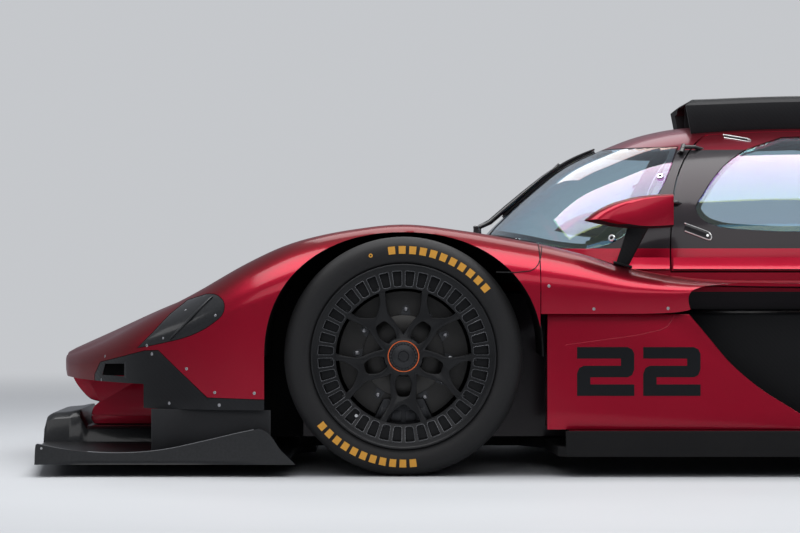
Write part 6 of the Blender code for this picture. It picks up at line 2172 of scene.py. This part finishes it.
def seatPad(name, path, first, last, channels, behind, half):
    # a crowned pad on the seat: it draws in at its edges and along the sewn channels
    rings = []
    for i in range(45):
        u = i / 44
        x, z = alongPath(path, first + (last - first) * u)
        end = math.sqrt(max(1 - abs(2 * u - 1) ** 7, 0.0))
        ring, back = [], []
        for j in range(25):
            v = 2 * j / 24 - 1
            crown = end * math.sqrt(max(1 - abs(v) ** 6, 0.0))
            sewn = sum(math.exp(-(((u - c) / 0.016) ** 2)) for c in channels)
            sewn += 0.7 * math.exp(-(((abs(v) - 0.62) / 0.035) ** 2))
            high = driver["padDepth"] * (0.30 + 0.70 * crown) - driver["channel"] * min(sewn, 1.0)
            wide = half * (1 - 0.03 * (1 - end))
            foot = driver["padDepth"] - 0.001
            drop = driver["padDepth"] - high
            ring.append((x + behind[0] * drop, driver["y"] + v * wide, z + behind[1] * drop))
            back.append((x + behind[0] * foot, driver["y"] + v * wide, z + behind[1] * foot))
        rings.append(ring + back[::-1])
    pad = shape(name, sheet(rings, True, True))
    step = pad.modifiers.new("soft", "SUBSURF")
    step.levels = step.render_levels = 1
    settle(pad)
    dress(pad, name, "seatCloth", smooth=60)


def buildSeat():
    y, half = driver["y"], driver["shellHalf"]
    shell = smoothOutline(shifted(frontX, [
        (0.900, 0.1042), (0.900, 0.176), (0.920, 0.190), (0.960, 0.197), (1.180, 0.147), (1.290, 0.170),
        (1.335, 0.205), (1.444, 0.410), (1.584, 0.790), (1.597, 0.797), (1.500, 0.400), (1.400, 0.1042),
    ]), (0, 8, 9, 10, 11), 4)
    piece = prism("shell", shell, y - half, y + half)
    wing = smoothOutline(shifted(frontX, [
        (0.940, 0.150), (0.940, 0.255), (1.050, 0.280), (1.150, 0.302), (1.240, 0.460), (1.380, 0.640),
        (1.385, 0.790), (1.540, 0.808), (1.568, 0.780), (1.470, 0.380), (1.380, 0.150),
    ]), (0, 10), 4)
    wings = [rounded(prism("wing", wing, y + k * 0.166, y + k * 0.204), 0.012, 4, 50) for k in both]
    carve(piece, "ADD", *wings)
    dress(piece, "seatShell", "satinCarbon", stands="seat")
    seatPad("seatPad.back", seatFront, 0.10, 0.74, (0.25, 0.5, 0.75), (0.94, -0.35), driver["padHalf"])
    seatPad("seatPad.head", seatFront, 0.78, 0.985, (0.5,), (0.94, -0.35), driver["padHalf"] * 0.86)
    seatPad("seatPad.base", seatPan, 0.03, 0.97, (0.33, 0.66), (0.06, -0.99), driver["padHalf"])


def buildControls():
    y, x = driver["y"], frontX + 0.780
    grip = [
        (-0.139, 0.050), (-0.130, 0.078), (-0.105, 0.0845), (0.105, 0.0845), (0.130, 0.078), (0.139, 0.050),
        (0.1395, -0.050),
        (0.130, -0.076), (0.110, -0.084), (0.090, -0.078), (0.078, -0.055), (-0.078, -0.055), (-0.090, -0.078),
        (-0.110, -0.084), (-0.130, -0.076), (-0.1395, -0.050),
    ]
    wheelPlate = prism("yoke", smoothOutline([(y + a, 0.625 + z) for a, z in grip], (), 4), x, x + 0.028, "YZ")
    rounded(wheelPlate, 0.009, 4, 50)
    carve(wheelPlate, "CUT", *[
        prism("gap", smoothOutline([
            (y + k * a, 0.625 + z) for a, z in ((0.078, 0.050), (0.112, 0.045), (0.112, -0.040), (0.080, -0.034))
        ],
                                   (), 4), x - 0.01, x + 0.04, "YZ") for k in both])
    column = tube("column", [(frontX + 0.5475, y, 0.6135), (x + 0.010, y, 0.625)], 0.0178, 24)
    saddle = tube("saddle", [(frontX + 0.560, y - 0.1, 0.585), (frontX + 0.560, y + 0.1, 0.585)], 0.0227, 20)
    carve(wheelPlate, "ADD", column)
    carve(wheelPlate, "CUT", saddle)
    dress(wheelPlate, "steeringYoke", "satinCarbon", stands="steering_wheel")
    screen = rounded(block("screen", (x + 0.0270, y - 0.048, 0.632), (x + 0.0295, y + 0.048, 0.682)), 0.001, 2)
    dress(screen, "yokeScreen", "screenBlack")
    knobs = []
    for k in both:
        for j, z in enumerate((0.668, 0.646, 0.612, 0.592)):
            at = Vector((x + 0.0275, y + k * (0.062 if j < 2 else 0.040), z))
            knobs.append(
                tube(
                    "knob", [at, at + Vector((0.005, 0, 0)), at + Vector((0.0065, 0, 0))], [0.0062, 0.0062, 0.0045], 16,
                )
            )
    dress(knobs, "yokeKnobs", "ringOrange")
    rings = []
    for k in range(13):
        px = frontX + 0.270 + 0.026 * k
        z = 0.572 + 0.040 * math.sin(0.5 * math.pi * k / 12)
        half = min(canopyAt(px, z + 0.012) - 0.032, 0.455)
        rings.append([(px, -half + 2 * half * j / 24, z - 0.012 * abs(j / 12 - 1) ** 3) for j in range(25)])
    dress(thickened(shape("dash", sheet(rings)), 0.003), "dashTop", "linerBlack")


sidepod = {"root": 0.5007, "low": 0.0806, "high": 0.4448, "corner": 0.014, "mouthLow": 0.130, "mouthHigh": 0.400}


def buildSidepods():
    inset = [
        (0.465, 0.350), (0.600, 0.305), (0.815, 0.252), (1.060, 0.226), (1.315, 0.2105), (1.565, 0.192), (1.815, 0.171),
        (2.215, 0.111), (2.535, 0.071),
    ]
    root = sidepod["root"]
    for side in both:
        outline = [(frontX + 0.465, side * root)] + [(frontX + dx, side * (halfWidth - a)) for dx, a in inset]
        outline = smoothOutline(outline + [(rearX - 0.475, side * root)], (0, 1, 9, 10), 6)
        pod = rounded(prism("pod", outline, sidepod["low"], sidepod["high"], "XY"), sidepod["corner"], 4, 50)
        mouth = shifted(frontX, [(0.40, 0.530), (0.40, 0.720), (0.95, 0.660), (0.95, 0.540)])
        carve(
            pod, "CUT", rounded(
                prism("mouth", [(x, side * a) for x, a in mouth], sidepod["mouthLow"], sidepod["mouthHigh"], "XY"),
                0.016, 3,
            ),
        )
        dress(pod, "sidepod.", "satinCarbon", side, stands="sidepod_")


buildSeat()
buildControls()
buildSidepods()
print("cockpit interior and sidepods done")


def nodeFinish(name):
    # what a solid that is still shown is made of
    table = (
        ("tyre", "tyreRubber"), ("rim", "wheelBlack"), ("brake_disc", "turnedDisc"), ("knuckle", "darkAlloy"),
        ("wishbones", "satinCarbon"), ("seat", "seatCloth"), ("engine", "brakeIron"), ("gearbox", "brakeIron"),
        ("floor", "linerBlack"),
        ("windscreen", "clearGlass"), ("door_glass", "clearGlass"), ("mirror", "candyRed"), ("rear_clip", "candyRed"),
        ("number_panel", "candyRed"), ("nose_keel", "candyRed"), ("headlamp", "glossBlack"), ("wiper", "glossBlack"),
    )
    for start, finish in table:
        if name.startswith(start):
            return finish
    return "satinCarbon"


for name, item in frame["nodes"].items():
    if item.hide_render:
        continue
    finish = nodeFinish(name)
    item.data.materials.clear()
    item.data.materials.append(made[finish])
